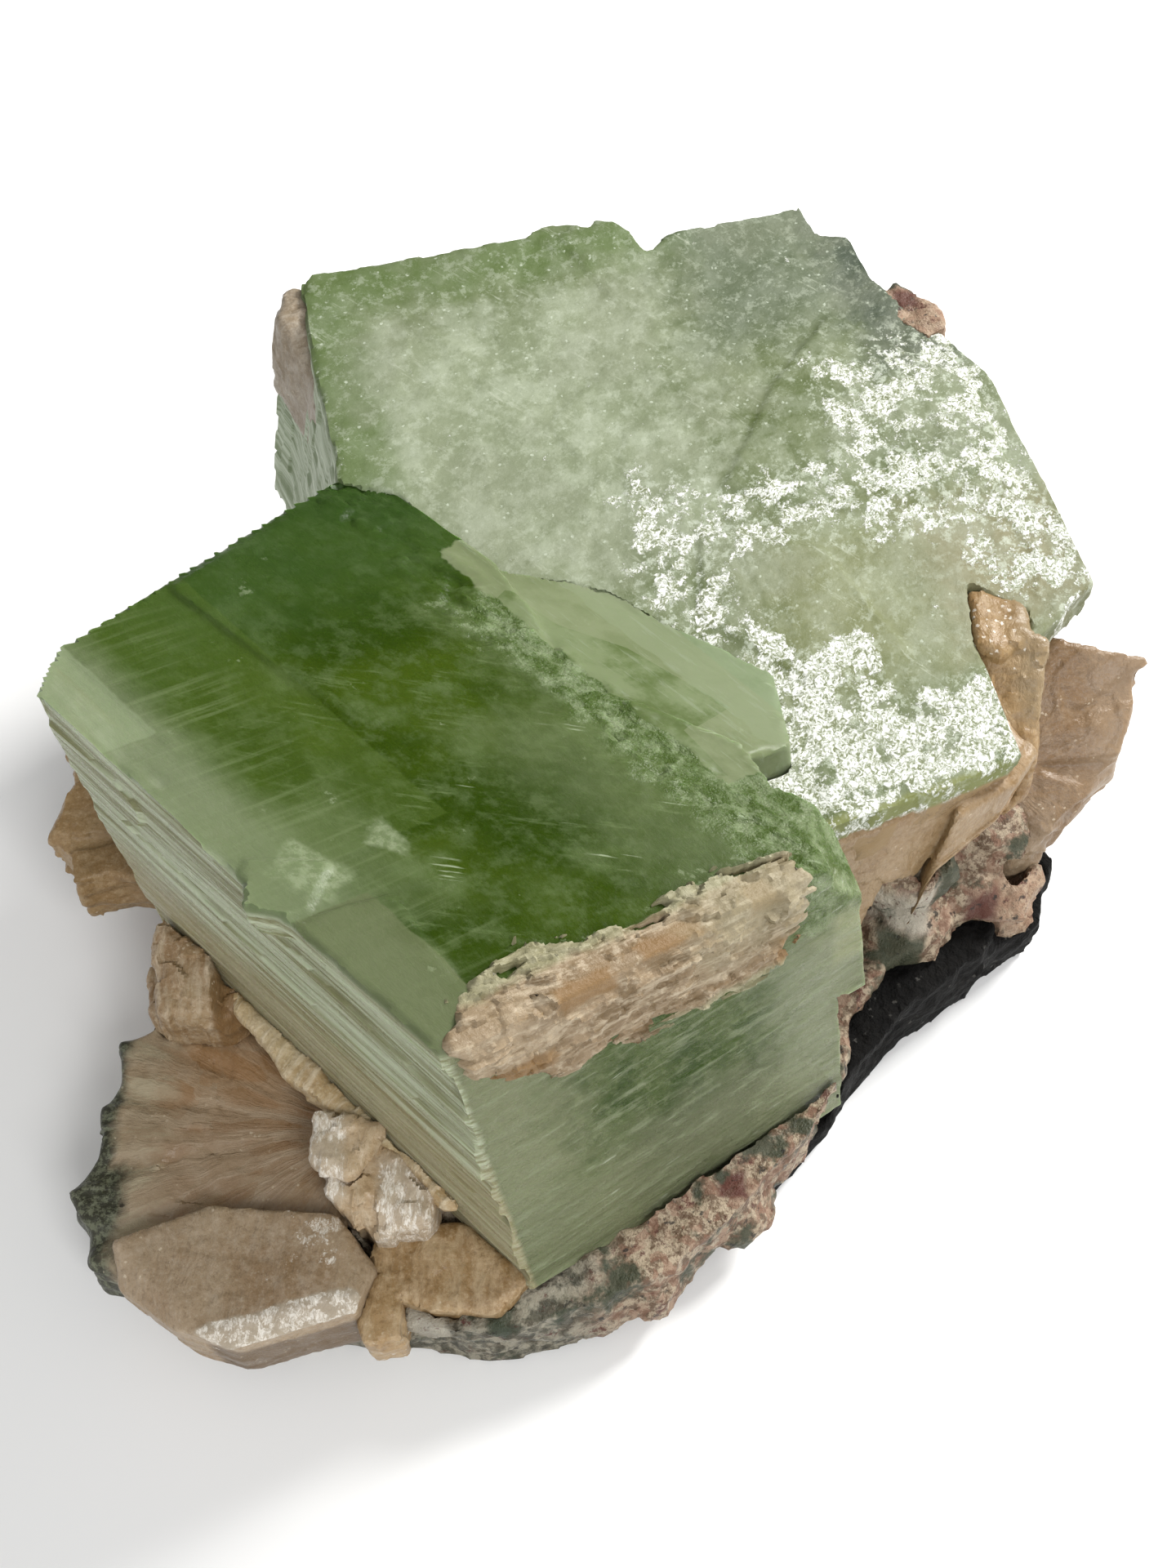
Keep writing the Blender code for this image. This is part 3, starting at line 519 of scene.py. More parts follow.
def front_green_paint():
    paint, shader, r = new_material("moss_green_calcite")
    where = slanted_place(r, FRONT_AXES, FRONT_CORNER)

    # the smooth top: deep green glass with clouds, darker at its far end
    colour = r.mixed(r.ramp(r.cloud(where, 0.06, 3), 0.38, 0.62), (0.020, 0.042, 0.001),
                     (0.038, 0.066, 0.004))
    colour = r.lay(colour, r.ramp(r.cloud(where, 0.13, 6, 0.62), 0.50, 0.72), 0.75, (0.090, 0.130, 0.044))
    mottle = r.ramp(r.cloud(where, 0.38, 5, 0.72), 0.46, 0.64)
    colour = r.lay(colour, mottle, 0.35, (0.105, 0.145, 0.058))
    far_end = zone(r, where, (50, 8, -FAR), (FAR, FAR, FAR), 16, 6)
    colour = r.lay(colour, far_end, 0.60, (0.028, 0.062, 0.014))
    left_of_step = zone(r, where, (22, -FAR, -FAR), (FAR, 17.8, 2.0), 0.25, 0.3)
    colour = r.lay(colour, left_of_step, 0.40, (0.066, 0.104, 0.018))
    cross_lines = r.ramp(r.cloud(r.scaled(where, 1.3, 0.05, 0.3), 1.0, 4, 0.6), 0.48, 0.70)
    left_half = zone(r, where, (6, -FAR, -FAR), (FAR, 12, 4), 10, 4)
    colour = r.lay(colour, r.product(cross_lines, left_half), 0.45, (0.150, 0.195, 0.085))
    veil = zone(r, where, (-FAR, -FAR, -FAR), (FAR, 4.8, FAR), 6, 3)
    colour = r.lay(colour, veil, 0.66, (0.200, 0.232, 0.140))
    near_veil = zone(r, where, (14, -FAR, -FAR), (29, 11, FAR), 8, 5)
    colour = r.lay(colour, near_veil, 0.50, (0.125, 0.160, 0.075))
    band = zone(r, where, (43, -FAR, -FAR), (FAR, 3.5, 4), 0.3, 0.5)
    colour = r.lay(colour, band, 0.65, (0.215, 0.260, 0.150))
    plate = zone(r, where, (-FAR, -FAR, -FAR), (17.5, 6.4, 1.6), 0.25, 0.9)
    colour = r.lay(colour, plate, 0.75, (0.108, 0.128, 0.060))
    sheared = r.arrow("ADD", where, r.scaled(where, 0.0, 0.22, 0.0))
    slant = r.turned(sheared, 0.45)
    chip = zone(r, slant, (14.6, 10.8, -FAR), (20.4, 16.4, 1.2), 1.2, 3.4)
    second_chip = zone(r, slant, (11.9, 20.6, -FAR), (15.2, 23.9, 1.2), 1.2, 3.4)
    chip_tone = r.mixed(r.ramp(r.cloud(where, 0.8, 4, 0.70), 0.42, 0.62), (0.150, 0.190, 0.095),
                        (0.245, 0.290, 0.172))
    colour = r.lay(colour, r.either(chip, second_chip), 0.75, chip_tone)

    misty = zone(r, where, (30, 35, -FAR), (45, FAR, 4), 6, 6)
    misty = r.either(misty, zone(r, where, (-FAR, 27, -FAR), (30, FAR, 4), 11, 8))
    colour = r.lay(colour, misty, 0.50, (0.120, 0.152, 0.068))

    # the left side: satin growth layers, brownish towards the foot
    skin = zone(r, where, (-FAR, -FAR, 0.4), (FAR, 1.2, FAR), 1.0, 0.6)
    lines = r.cloud(r.scaled(where, 0.04, 0.4, 1.5), 1.0, 5, 0.6)
    left_tone = r.mixed(r.ramp(lines, 0.36, 0.62), (0.185, 0.185, 0.095), (0.42, 0.46, 0.33))
    foot = zone(r, where, (-FAR, -FAR, 20), (FAR, FAR, FAR), 14, 6)
    left_tone = r.lay(left_tone, foot, 0.55, (0.30, 0.24, 0.13))
    colour = r.mixed(skin, colour, left_tone)

    # the front: milky at its left, green in the middle, grey at its lower right, streaked
    tipped = r.turned(where, 0.12, "X_AXIS")
    face = zone(r, where, (-FAR, 0.6, 1.0), (1.4, FAR, FAR), 0.8, 0.4)
    face_green = r.mixed(r.ramp(r.cloud(where, 0.12, 5, 0.6), 0.38, 0.62), (0.028, 0.054, 0.006),
                         (0.066, 0.094, 0.026))
    middle = zone(r, where, (-FAR, 10, -FAR), (FAR, 36, 27), 12, 9)
    face_tone = r.mixed(middle, (0.175, 0.190, 0.105), face_green)
    flecked = r.ramp(r.cloud(where, 0.55, 4, 0.74), 0.48, 0.64)
    face_tone = r.lay(face_tone, flecked, 0.34, (0.190, 0.220, 0.115))
    low_right = zone(r, where, (-FAR, 14, 24), (FAR, 32, FAR), 8, 8)
    grey_right = zone(r, where, (-FAR, 32, 10), (FAR, FAR, FAR), 8, 6)
    face_tone = r.lay(face_tone, grey_right, 0.60, (0.195, 0.215, 0.135))
    face_tone = r.lay(face_tone, low_right, 0.60, (0.092, 0.103, 0.056))
    low_left = zone(r, where, (-FAR, -FAR, 29), (FAR, 18, FAR), 8, 5)
    face_tone = r.lay(face_tone, low_left, 0.45, (0.120, 0.136, 0.070))
    chamfer = zone(r, where, (-FAR, 41, -FAR), (FAR, FAR, 15), 2, 2)
    face_tone = r.lay(face_tone, chamfer, 0.80, (0.245, 0.262, 0.145))
    streaks = r.cloud(r.scaled(tipped, 0.3, 0.13, 0.9), 1.0, 5, 0.65)
    face_tone = r.lay(face_tone, r.ramp(streaks, 0.50, 0.68), 0.62, (0.225, 0.255, 0.155))
    face_tone = r.lay(face_tone, r.ramp(streaks, 0.44, 0.30), 0.40, (0.060, 0.082, 0.024))
    colour = r.mixed(face, colour, face_tone)

    # the shattered right end and the smooth saddle behind it
    right_end = zone(r, where, (-FAR, 36, -FAR), (46, FAR, 8), 4, 9)
    right_tone = r.mixed(r.ramp(r.cloud(where, 0.45, 5, 0.68), 0.42, 0.64), (0.060, 0.098, 0.020),
                         (0.180, 0.232, 0.115))
    colour = r.lay(colour, right_end, 0.80, right_tone)
    saddle_zone = zone(r, where, (12.5, 41.3, -FAR), (54, FAR, 9), 0.4, 3.0)
    saddle_tone = r.mixed(r.ramp(r.cloud(where, 0.13, 6, 0.66), 0.40, 0.60), (0.088, 0.122, 0.040),
                          (0.162, 0.200, 0.100))
    pale_strip = zone(r, where, (-FAR, 49.5, -FAR), (FAR, FAR, FAR), 0.3, 2.0)
    saddle_tone = r.lay(saddle_tone, pale_strip, 0.6, (0.200, 0.250, 0.150))
    facets = r.grains(r.scaled(where, 0.045, 0.16, 0.0), 1.0)
    facet = r.parts(facets.outputs["Color"])[0]
    saddle_tone = r.lay(saddle_tone, r.ramp(facet, 0.35, 0.40), 0.55, (0.195, 0.222, 0.125))
    hairs = r.ramp(r.cloud(r.scaled(where, 0.16, 1.2, 0.5), 1.0, 5, 0.7), 0.56, 0.66)
    saddle_tone = r.lay(saddle_tone, hairs, 0.35, (0.250, 0.290, 0.200))
    colour = r.mixed(saddle_zone, colour, saddle_tone)

    # wisps, painted highlights for the bright cleavage flashes, and crumbs round the cap and along the
    # broken end
    turned = r.turned(where, 0.8)
    smooth_top = zone(r, where, (-FAR, 8, -FAR), (46, 42, 4), 6, 5)
    wisps = r.ramp(r.cloud(r.scaled(turned, 0.16, 1.1, 1.0), 1.0, 5, 0.68), 0.54, 0.68)
    wisps = r.product(wisps, r.ramp(r.cloud(where, 0.09, 4), 0.42, 0.62))
    colour = r.lay(colour, r.product(wisps, smooth_top), 0.45, (0.150, 0.200, 0.085))
    # painted highlight: pale flecks painted where the cleavages flash in the light
    painted_flash = r.group("flecks", {"Place": r.scaled(turned, 0.20, 1.9, 1.0), "Size": 0.6, "Share": 0.10})
    near_half = zone(r, where, (-FAR, 10, -FAR), (26, FAR, 4), 8, 4)
    in_drifts = r.product(near_half, r.ramp(r.cloud(where, 0.12, 4), 0.50, 0.62))
    painted_flash = r.product(painted_flash, in_drifts)
    colour = r.lay(colour, painted_flash, 0.60, (0.36, 0.42, 0.28))
    not_face = r.math("SUBTRACT", 1.0, r.either(saddle_zone, skin))
    foil = r.group("foil", {"Place": r.scaled(turned, 0.8, 1.2, 1.0), "Size": 0.8})
    by_cap = zone(r, where, (-FAR, 12, -FAR), (6.5, FAR, 4), 3, 3)
    crumbly = r.either(r.product(right_end, 0.42), r.product(by_cap, 0.34))
    crumbly = r.product(crumbly, not_face)
    crumbs = r.group("patch", {"Place": where, "Size": 3.4, "Share": crumbly})
    crumbs = r.product(crumbs, r.levels(foil, 0.55, 1.0))
    colour = r.lay(colour, crumbs, 0.42, (0.270, 0.320, 0.195))
    # painted highlight: pale flecks painted on the front face where its cleavages flash in the light
    painted_face_flash = r.group("flecks", {"Place": r.scaled(tipped, 1.0, 0.20, 1.6), "Size": 0.7, "Share": 0.09})
    painted_face_flash = r.product(painted_face_flash, r.ramp(r.cloud(where, 0.15, 3), 0.45, 0.60))
    colour = r.lay(colour, r.product(painted_face_flash, face), 0.60, (0.40, 0.44, 0.33))
    r.feed(shader.inputs["Base Color"], colour)
    rough = r.levels(r.ramp(r.cloud(where, 0.5, 4), 0.3, 0.7), 0.20, 0.36)
    r.feed(shader.inputs["Roughness"], r.levels(saddle_zone, rough, 0.34))
    calm = r.math("SUBTRACT", 1.0, saddle_zone)
    fine = r.bump(r.cloud(r.scaled(where, 0.6, 1.4, 2.2), 1.0, 5, 0.65), 0.0003, r.levels(calm, 0.08, 0.35))
    shattering = r.product(right_end, calm)
    shatter_bump = r.bump(r.cloud(where, 1.2, 3, 0.7), 0.0008, r.levels(shattering, 0.0, 0.7), fine)
    lines_bump = r.bump(lines, 0.0006, r.levels(skin, 0.0, 0.8), shatter_bump)
    r.feed(shader.inputs["Normal"], r.bump(streaks, 0.0007, r.levels(face, 0.0, 0.7), lines_bump))
    shader.inputs["IOR"].default_value = 1.50
    shader.inputs["Specular IOR Level"].default_value = 0.11
    shader.inputs["Subsurface Weight"].default_value = 0.30
    shader.inputs["Subsurface Radius"].default_value = (0.0010, 0.0016, 0.0008)
    shader.inputs["Subsurface Scale"].default_value = 1.0
    return paint


EDGE_ANGLE = math.radians(38)        # bends sharper than this stay edges


def dress(piece, paint, slot, *nodes):
    """Gives a piece its finish and its place in the frame."""
    piece.data.materials.append(paint)
    piece.data.shade_smooth()
    piece.data.set_sharp_from_angle(angle=EDGE_ANGLE)
    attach(piece, "root")
    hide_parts(*nodes)


dress(front, front_green_paint(), "moss_green_calcite", "front_green_crystal")


# ---- back green crystal ---------------------------------------------------------------------
# A thick plate of paler, frosted green calcite. Its broad top is etched into small ledges with
# painted glitter on them, its left side is built of growth layers, and small twins stand on its far edge.
BACK_CORNER = Vector((19.764, -28.435, 41.4))          # its near corner, mm
BACK_AXES = (Vector((0.8998, 0.4199, -0.1090)).normalized(),    # along the near side, to the right
             Vector((-0.2156, 0.9747, 0.0625)).normalized(),    # away, along the left side
             Vector((-0.1832, -0.1928, -0.9641)).normalized())  # down
BACK_CELL = (0.5, 0.5, 0.42)                           # mesh cell along each of them, mm

plate = fine_copy("back_green_crystal", "back_frosted_calcite", BACK_AXES, BACK_CORNER, BACK_CELL)
points, normals = points_and_normals(plate)
place = along_axes(points, BACK_AXES, BACK_CORNER)
UP_WAY = BACK_AXES[0].cross(BACK_AXES[1]).normalized()
SIDE_WAY = BACK_AXES[2].cross(BACK_AXES[1]).normalized()
on_top = facing(normals, UP_WAY)
on_side = facing(normals, SIDE_WAY)
terraces = waves(stretched(place, 0.045, 0.040, 0), 62) + 0.05 * waves(stretched(place, 0.22, 0.22, 0), 67)
rise = 0.16 * between(terraces, 0.08, 0.11) - 0.14 * between(terraces, -0.32, -0.35)
rise += 0.05 * waves(stretched(place, 0.08, 0.08, 0), 63)
ledges = plates(stretched(place, 0.075, 0.055, 0), 64) + 0.35 * plates(stretched(place, 0.30, 0.26, 0), 65)
rise += 0.09 * np.round(1.4 * ledges)
layer = 0.45 * np.round(1.8 * waves(stretched(place, 0.02, 0.02, 0.16), 71))
layer += 0.28 * waves(stretched(place, 0.03, 0.04, 0.6), 72)
layer += 0.14 * waves(stretched(place, 0.05, 0.1, 1.2), 73)
rest = np.clip(1 - on_top - on_side, 0, 1)
broken = 0.30 * waves(place * 0.3, 74) + 0.24 * blocks(stretched(place, 0.5, 0.45, 0.4), 75)
lift = push(on_top * rise, UP_WAY)
lift += push(on_side * layer, SIDE_WAY)
lift += push(rest * broken, normals)
move_points(plate, points + lift)


def back_green_paint():
    paint, shader, r = new_material("frosted_green_calcite")
    where = slanted_place(r, BACK_AXES, BACK_CORNER)

    # cloudy body: milk in the upper left, green edges, olive and grey patches
    colour = r.mixed(r.ramp(r.cloud(where, 0.09, 6, 0.62), 0.42, 0.60), (0.080, 0.105, 0.033),
                     (0.145, 0.172, 0.088))
    olive = zone(r, where, (4, 14, -FAR), (32, 36, FAR), 12, 9)
    colour = r.lay(colour, olive, 0.60, (0.190, 0.198, 0.092))
    tan = zone(r, where, (26, 16, -FAR), (44, 34, FAR), 9, 6)
    colour = r.lay(colour, tan, 0.55, (0.225, 0.185, 0.100))
    haze = r.ramp(r.cloud(where, 0.17, 6, 0.70), 0.43, 0.61)
    milk = zone(r, where, (-37, 38, -FAR), (4, 81, FAR), 18, 14)
    colour = r.lay(colour, r.product(haze, r.levels(milk, 0.42, 0.95)), 0.60, (0.345, 0.380, 0.285))
    colour = r.lay(colour, milk, 0.42, (0.310, 0.345, 0.245))
    far_green = zone(r, where, (-FAR, 84, -FAR), (12, FAR, FAR), 8, 7)
    left_green = zone(r, where, (-FAR, 30, -FAR), (-33, FAR, FAR), 7, 5)
    colour = r.lay(colour, r.either(far_green, left_green), 0.65, (0.080, 0.125, 0.034))
    shade = zone(r, where, (8, 66, -FAR), (FAR, FAR, FAR), 14, 9)
    colour = r.lay(colour, shade, 0.60, (0.095, 0.115, 0.082))
    dark_rim = zone(r, where, (29, 56, -FAR), (FAR, FAR, FAR), 8, 7)
    colour = r.lay(colour, dark_rim, 0.85, (0.024, 0.038, 0.022))
    veins = r.ramp(r.cloud(where, 0.60, 4, 0.80), 0.50, 0.64)
    colour = r.lay(colour, veins, 0.30, (0.420, 0.460, 0.360))
    turned = r.turned(where, 0.9)
    needles = r.ramp(r.cloud(r.scaled(turned, 0.12, 1.0, 0.5), 1.0, 5, 0.72), 0.57, 0.66)
    needles = r.product(needles, r.ramp(r.cloud(where, 0.10, 4), 0.46, 0.62))
    colour = r.lay(colour, needles, 0.45, (0.420, 0.450, 0.350))
    grey = r.ramp(r.cloud(r.arrow("ADD", where, (9.0, 61.0, 3.0)), 0.06, 5, 0.6), 0.46, 0.60)
    colour = r.lay(colour, grey, 0.28, (0.200, 0.215, 0.150))
    pores = r.ramp(r.cloud(r.arrow("ADD", where, (37.0, 5.0, 11.0)), 0.65, 4, 0.7), 0.42, 0.30)
    colour = r.lay(colour, pores, 0.28, (0.075, 0.095, 0.035))
    near_strip = zone(r, where, (-FAR, -FAR, -FAR), (FAR, 1.3, FAR), 1.0, 0.8)
    colour = r.lay(colour, near_strip, 0.85, (0.175, 0.190, 0.060))

    # etched patches with painted glitter: torn sheets of foil-like flecks painted near white where
    # the small etched faces reflect the light; the tilted normals below add real glints as well
    etched = zone(r, where, (-9, 25, -FAR), (1, 50, FAR), 7, 7)
    more = [((1, 35), (20, 46)), ((19, 31), (33, 60)), ((31, 20), (44, 63)), ((-8, 12), (5, 28)),
            ((-6, 0), (15, 22)), ((10, 0), (31, 12)), ((38, 4), (60, 30))]
    for low, high in more:
        etched = r.either(etched, zone(r, where, (*low, -FAR), (*high, FAR), 6, 9))
    near_half = zone(r, where, (-FAR, -FAR, -FAR), (33, 22, FAR), 8, 4)
    share = r.product(etched, r.levels(near_half, 0.55, 0.72))
    sheets = r.group("patch", {"Place": where, "Size": 4.2, "Share": share})
    foil = r.group("foil", {"Place": where, "Size": 0.62})
    # painted highlight: the glitter tone, from olive creases to near white
    bright = r.mixed(r.ramp(foil, 0.10, 0.36), (0.150, 0.170, 0.085), (0.430, 0.460, 0.360))
    bright = r.mixed(r.ramp(foil, 0.38, 0.70), bright, (0.84, 0.85, 0.80))
    colour = r.lay(colour, r.product(etched, veins), 0.55, (0.480, 0.520, 0.430))
    colour = r.lay(colour, sheets, 0.94, bright)
    foil = r.product(r.ramp(foil, 0.40, 0.70), sheets)
    # painted glints: a few stray pale flecks painted over the whole top
    stray_painted_glints = r.group("flecks", {"Place": where, "Size": 0.5, "Share": 0.03})
    colour = r.lay(colour, stray_painted_glints, 0.40, (0.62, 0.68, 0.56))
    coated = zone(r, where, (2, -FAR, 2.2), (FAR, 2.5, FAR), 0.8, 0.8)
    colour = r.lay(colour, coated, 0.95, (0.270, 0.180, 0.090))

    # the left side: grey-green layers, flushed with beige along its top
    side = zone(r, where, (-FAR, -FAR, 0.8), (-33.2, FAR, FAR), 0.8, 0.4)
    lines = r.cloud(r.scaled(where, 0.05, 0.05, 1.7), 1.0, 5, 0.6)
    side_tone = r.mixed(r.ramp(lines, 0.36, 0.66), (0.22, 0.27, 0.16), (0.50, 0.56, 0.43))
    colour = r.mixed(side, colour, side_tone)
    r.feed(shader.inputs["Base Color"], colour)
    r.feed(shader.inputs["Roughness"], r.levels(foil, 0.50, 0.16))
    tilted = r.group("glints", {"Place": where, "Size": 0.5, "Tilt": r.levels(foil, 0.06, 0.40)})
    fine = r.bump(r.cloud(r.scaled(where, 1.2, 1.6, 2.2), 1.0, 5, 0.7), 0.0003, 0.4, tilted)
    r.feed(shader.inputs["Normal"], r.bump(foil, 0.0002, 0.6, fine))
    shader.inputs["IOR"].default_value = 1.50
    shader.inputs["Specular IOR Level"].default_value = 0.18
    return paint


dress(plate, back_green_paint(), "frosted_green_calcite", "back_green_crystal")


# ---- peach fans, plates, columns and blocks -----------------------------------------------
# Stilbite blades that grew in sheaves: each fan spreads from one root in broad, overlapping
# leaves and ends in a scalloped rim. Columns and blocks are single stout blades. All are
# pearly, from cream to salmon and brown.
PLAIN_AXES = (Vector((1, 0, 0)), Vector((0, 1, 0)), Vector((0, 0, 1)))     # meshed in cubes
MIDDLE = Vector((0, 0, 0))
FAN_CELL = (0.34,) * 3                                 # mesh cells of fans and of blades, mm
BLADE_CELL = (0.33,) * 3
RIGHT_ROOT = (44.2, -6.5, 20.0)                        # where each fan starts, mm
LEFT_ROOT = (-25.2, -47.0, 8.0)
PLATE_ROOT = (-34.3, -8.5, 12.0)


def turned_about(points, root):
    """Angle, distance and height about an upright line through a root, in mm."""
    x = points[:, 0] - root[0]
    y = points[:, 1] - root[1]
    return np.stack([np.arctan2(y, x), np.hypot(x, y), points[:, 2]], axis=1)


def grow_fan(node, root, leaves, soften, folds, feather):
    """A fan of broad leaves that overlap a little and run out from its root."""
    piece = fine_copy(node, node + "_blades", PLAIN_AXES, MIDDLE, FAN_CELL, soften)
    points, normals = points_and_normals(piece)
    polar = turned_about(points, root)
    bend = 0.9 * waves(stretched(points, 0.09, 0.09, 0.2), 80)
    leaf = polar[:, 0] * leaves + bend
    slope = leaf - np.floor(leaf)
    shelf = polar[:, 1] * 0.16 + 1.2 * waves(np.stack([leaf, leaf * 0, leaf * 0], axis=1), 84)
    rise = 0.15 + folds * (0.20 * slope * slope + 0.16 * (0.5 - (shelf - np.floor(shelf))))
    barbs = np.stack([leaf * 2.2 + 0.25 * polar[:, 1], polar[:, 1] * 0.20, leaf * 0], axis=1)
    rise += feather * plates(barbs, 89) * between(polar[:, 1], 11, 17)
    ribs = np.stack([leaf * 5, polar[:, 1] * 0.08, polar[:, 2] * 0.1], axis=1)
    rise += 0.05 * waves(ribs, 81) + 0.16 * waves(points * 0.14, 83) + 0.04 * waves(points * 0.9, 88)
    upright = np.clip(1 - np.abs(normals[:, 2]), 0, 1)
    layer = np.stack([leaf * 2.2, polar[:, 1] * 0.1, polar[:, 2] * 0.8], axis=1)
    rim = 0.15 + 0.55 * waves(layer, 85) + 0.30 * waves(stretched(layer, 2.4, 1.0, 2.0), 86)
    points = points + push((1 - upright) * rise + upright * rim, normals)
    if node == "lower_left_peach_fan":       # its mossy near corner reaches out a little
        points[:, 0] -= 1.2 * between(-points[:, 0], 44, 50) * np.exp(-((points[:, 1] + 56) / 5) ** 2)
    if node == "right_peach_fan":            # its lowest leaf ends short and blunt
        points[:, 1] += 0.6 * np.clip(-13.5 - points[:, 1], 0, None)
    move_points(piece, points)
    return piece


def peach_body(name, root, tones, ribs, streaks):
    """The start of a pearly material: dark, middle and pale tones, streaked from the root."""
    paint, shader, r = new_material(name)
    spot = place_in_mm(r)
    x, y, z = r.parts(r.arrow("SUBTRACT", spot, root))
    bend = r.product(r.cloud(spot, 0.12, 3), 3.0 / ribs)
    angle = r.math("ADD", r.math("ARCTAN2", y, x), bend)
    reach = r.arrow("LENGTH", r.joined(x, y))
    polar = r.joined(r.product(angle, ribs), r.product(reach, 0.12),
                     r.product(z, 0.3))
    colour = r.mixed(r.ramp(r.cloud(spot, 0.10, 4, 0.6), 0.34, 0.64), tones[0], tones[1])
    threads = r.ramp(r.cloud(polar, 1.0, 5, 0.6), 0.42, 0.72)
    colour = r.lay(colour, threads, streaks, tones[2])
    grain = r.ramp(r.cloud(spot, 0.55, 4, 0.7), 0.48, 0.70)
    colour = r.lay(colour, grain, 0.40, tones[2])
    fine = r.cloud(spot, 1.9, 3, 0.78)
    colour = r.lay(colour, r.ramp(fine, 0.52, 0.66), 0.40, tones[2])
    colour = r.lay(colour, r.ramp(fine, 0.46, 0.36), 0.35, [0.55 * c for c in tones[0]])
    return paint, shader, r, spot, colour, threads


def peach_finish(shader, r, spot, colour, threads, foil=0.0, rough=0.38):
    """Gives a pearly material its colour, its polish and its small glittering grains, painted as glints."""
    # painted glints: pale dots in drifts
    painted_glint_dots = r.group("flecks", {"Place": spot, "Size": 0.42, "Share": 0.07})
    painted_glint_dots = r.product(painted_glint_dots, r.ramp(r.cloud(spot, 0.2, 4), 0.50, 0.64))
    colour = r.lay(colour, painted_glint_dots, 0.5, (0.72, 0.62, 0.47))
    # painted glitter highlight: near white wherever the foil mask is
    colour = r.mixed(foil, colour, (0.88, 0.84, 0.76))
    r.feed(shader.inputs["Base Color"], colour)
    r.feed(shader.inputs["Roughness"], r.levels(foil, r.levels(threads, rough, rough + 0.16), 0.18))
    tilted = r.group("glints", {"Place": spot, "Size": 0.5, "Tilt": r.levels(foil, 0.10, 0.40)})
    fine = r.bump(r.cloud(spot, 1.5, 3, 0.7), 0.0003, 0.35, tilted)
    r.feed(shader.inputs["Normal"], r.bump(threads, 0.0004, 0.35, fine))
    shader.inputs["IOR"].default_value = 1.50
    shader.inputs["Specular IOR Level"].default_value = 0.35


def simple_peach(name, root, tones, ribs, streaks):
    """A pearly material without glitter."""
    paint, shader, r, spot, colour, threads = peach_body(name, root, tones, ribs, streaks)
    peach_finish(shader, r, spot, colour, threads)
    return paint


def right_fan_paint():
    tones = ((0.175, 0.102, 0.046), (0.215, 0.138, 0.072), (0.290, 0.210, 0.135))
    paint, shader, r, spot, colour, threads = peach_body("right_fan_pearl", RIGHT_ROOT, tones, 5, 0.25)
    low = zone(r, spot, (-FAR, -FAR, -FAR), (FAR, -13, FAR), 8, 5)
    colour = r.lay(colour, low, 0.5, (0.330, 0.270, 0.190))
    edge = zone(r, spot, (56.5, -FAR, -FAR), (FAR, FAR, FAR), 6, 4)
    colour = r.lay(colour, edge, 0.4, (0.330, 0.240, 0.155))
    peach_finish(shader, r, spot, colour, threads, rough=0.36)
    return paint


def left_fan_paint():
    tones = ((0.235, 0.130, 0.055), (0.245, 0.155, 0.078), (0.325, 0.235, 0.145))
    paint, shader, r, spot, colour, threads = peach_body("left_fan_pearl", LEFT_ROOT, tones, 14, 0.55)
    pinkish = zone(r, spot, (-48, -60, -FAR), (-33, -42, FAR), 10, 6)
    colour = r.lay(colour, pinkish, 0.5, (0.250, 0.165, 0.100))
    orange = zone(r, spot, (-45, -45, -FAR), (-26, -10, FAR), 8, 5)
    colour = r.lay(colour, orange, 0.5, (0.290, 0.160, 0.065))
    outer = zone(r, spot, (-FAR, -62, -FAR), (-45.5, -34, FAR), 5, 5)
    barb = r.arrow("SUBTRACT", spot, LEFT_ROOT)
    x, y = r.parts(barb)[:2]
    turn = r.math("ARCTAN2", y, x)
    reach = r.arrow("LENGTH", barb)
    fibre = r.joined(r.product(turn, 14.0), r.product(reach, 0.10))
    spread = r.joined(r.product(turn, 7.0), r.product(reach, 0.20))
    leaf = r.grains(r.arrow("ADD", spread, r.drift(spot, 0.30, 4.0)))
    shade = r.parts(leaf.outputs["Color"])[0]
    colour = r.lay(colour, r.ramp(shade, 0.35, 0.75), 0.42, (0.345, 0.265, 0.180))
    colour = r.lay(colour, r.ramp(leaf.outputs["Distance"], 0.38, 0.62), 0.22, (0.420, 0.350, 0.250))
    colour = r.lay(colour, outer, 0.40, (0.300, 0.250, 0.165))
    feathers = r.product(r.ramp(r.cloud(fibre, 1.0, 5, 0.66), 0.46, 0.60), outer)
    colour = r.lay(colour, feathers, 0.70, (0.385, 0.335, 0.225))
    moss_tone = r.mixed(r.ramp(r.cloud(spot, 1.3, 3, 0.75), 0.44, 0.62), (0.010, 0.016, 0.008),
                        (0.110, 0.125, 0.080))
    rim = zone(r, spot, (-FAR, -FAR, -FAR), (-50.2, -33, FAR), 1.6, 2.4)
    corner = zone(r, spot, (-FAR, -FAR, -FAR), (-48.4, -51, FAR), 2.2, 4.0)
    colour = r.lay(colour, r.either(rim, corner), 0.92, moss_tone)
    pits = r.group("flecks", {"Place": spot, "Size": 0.8, "Share": 0.003})
    colour = r.lay(colour, pits, 0.9, (0.025, 0.020, 0.012))
    peach_finish(shader, r, spot, colour, threads)
    return paint


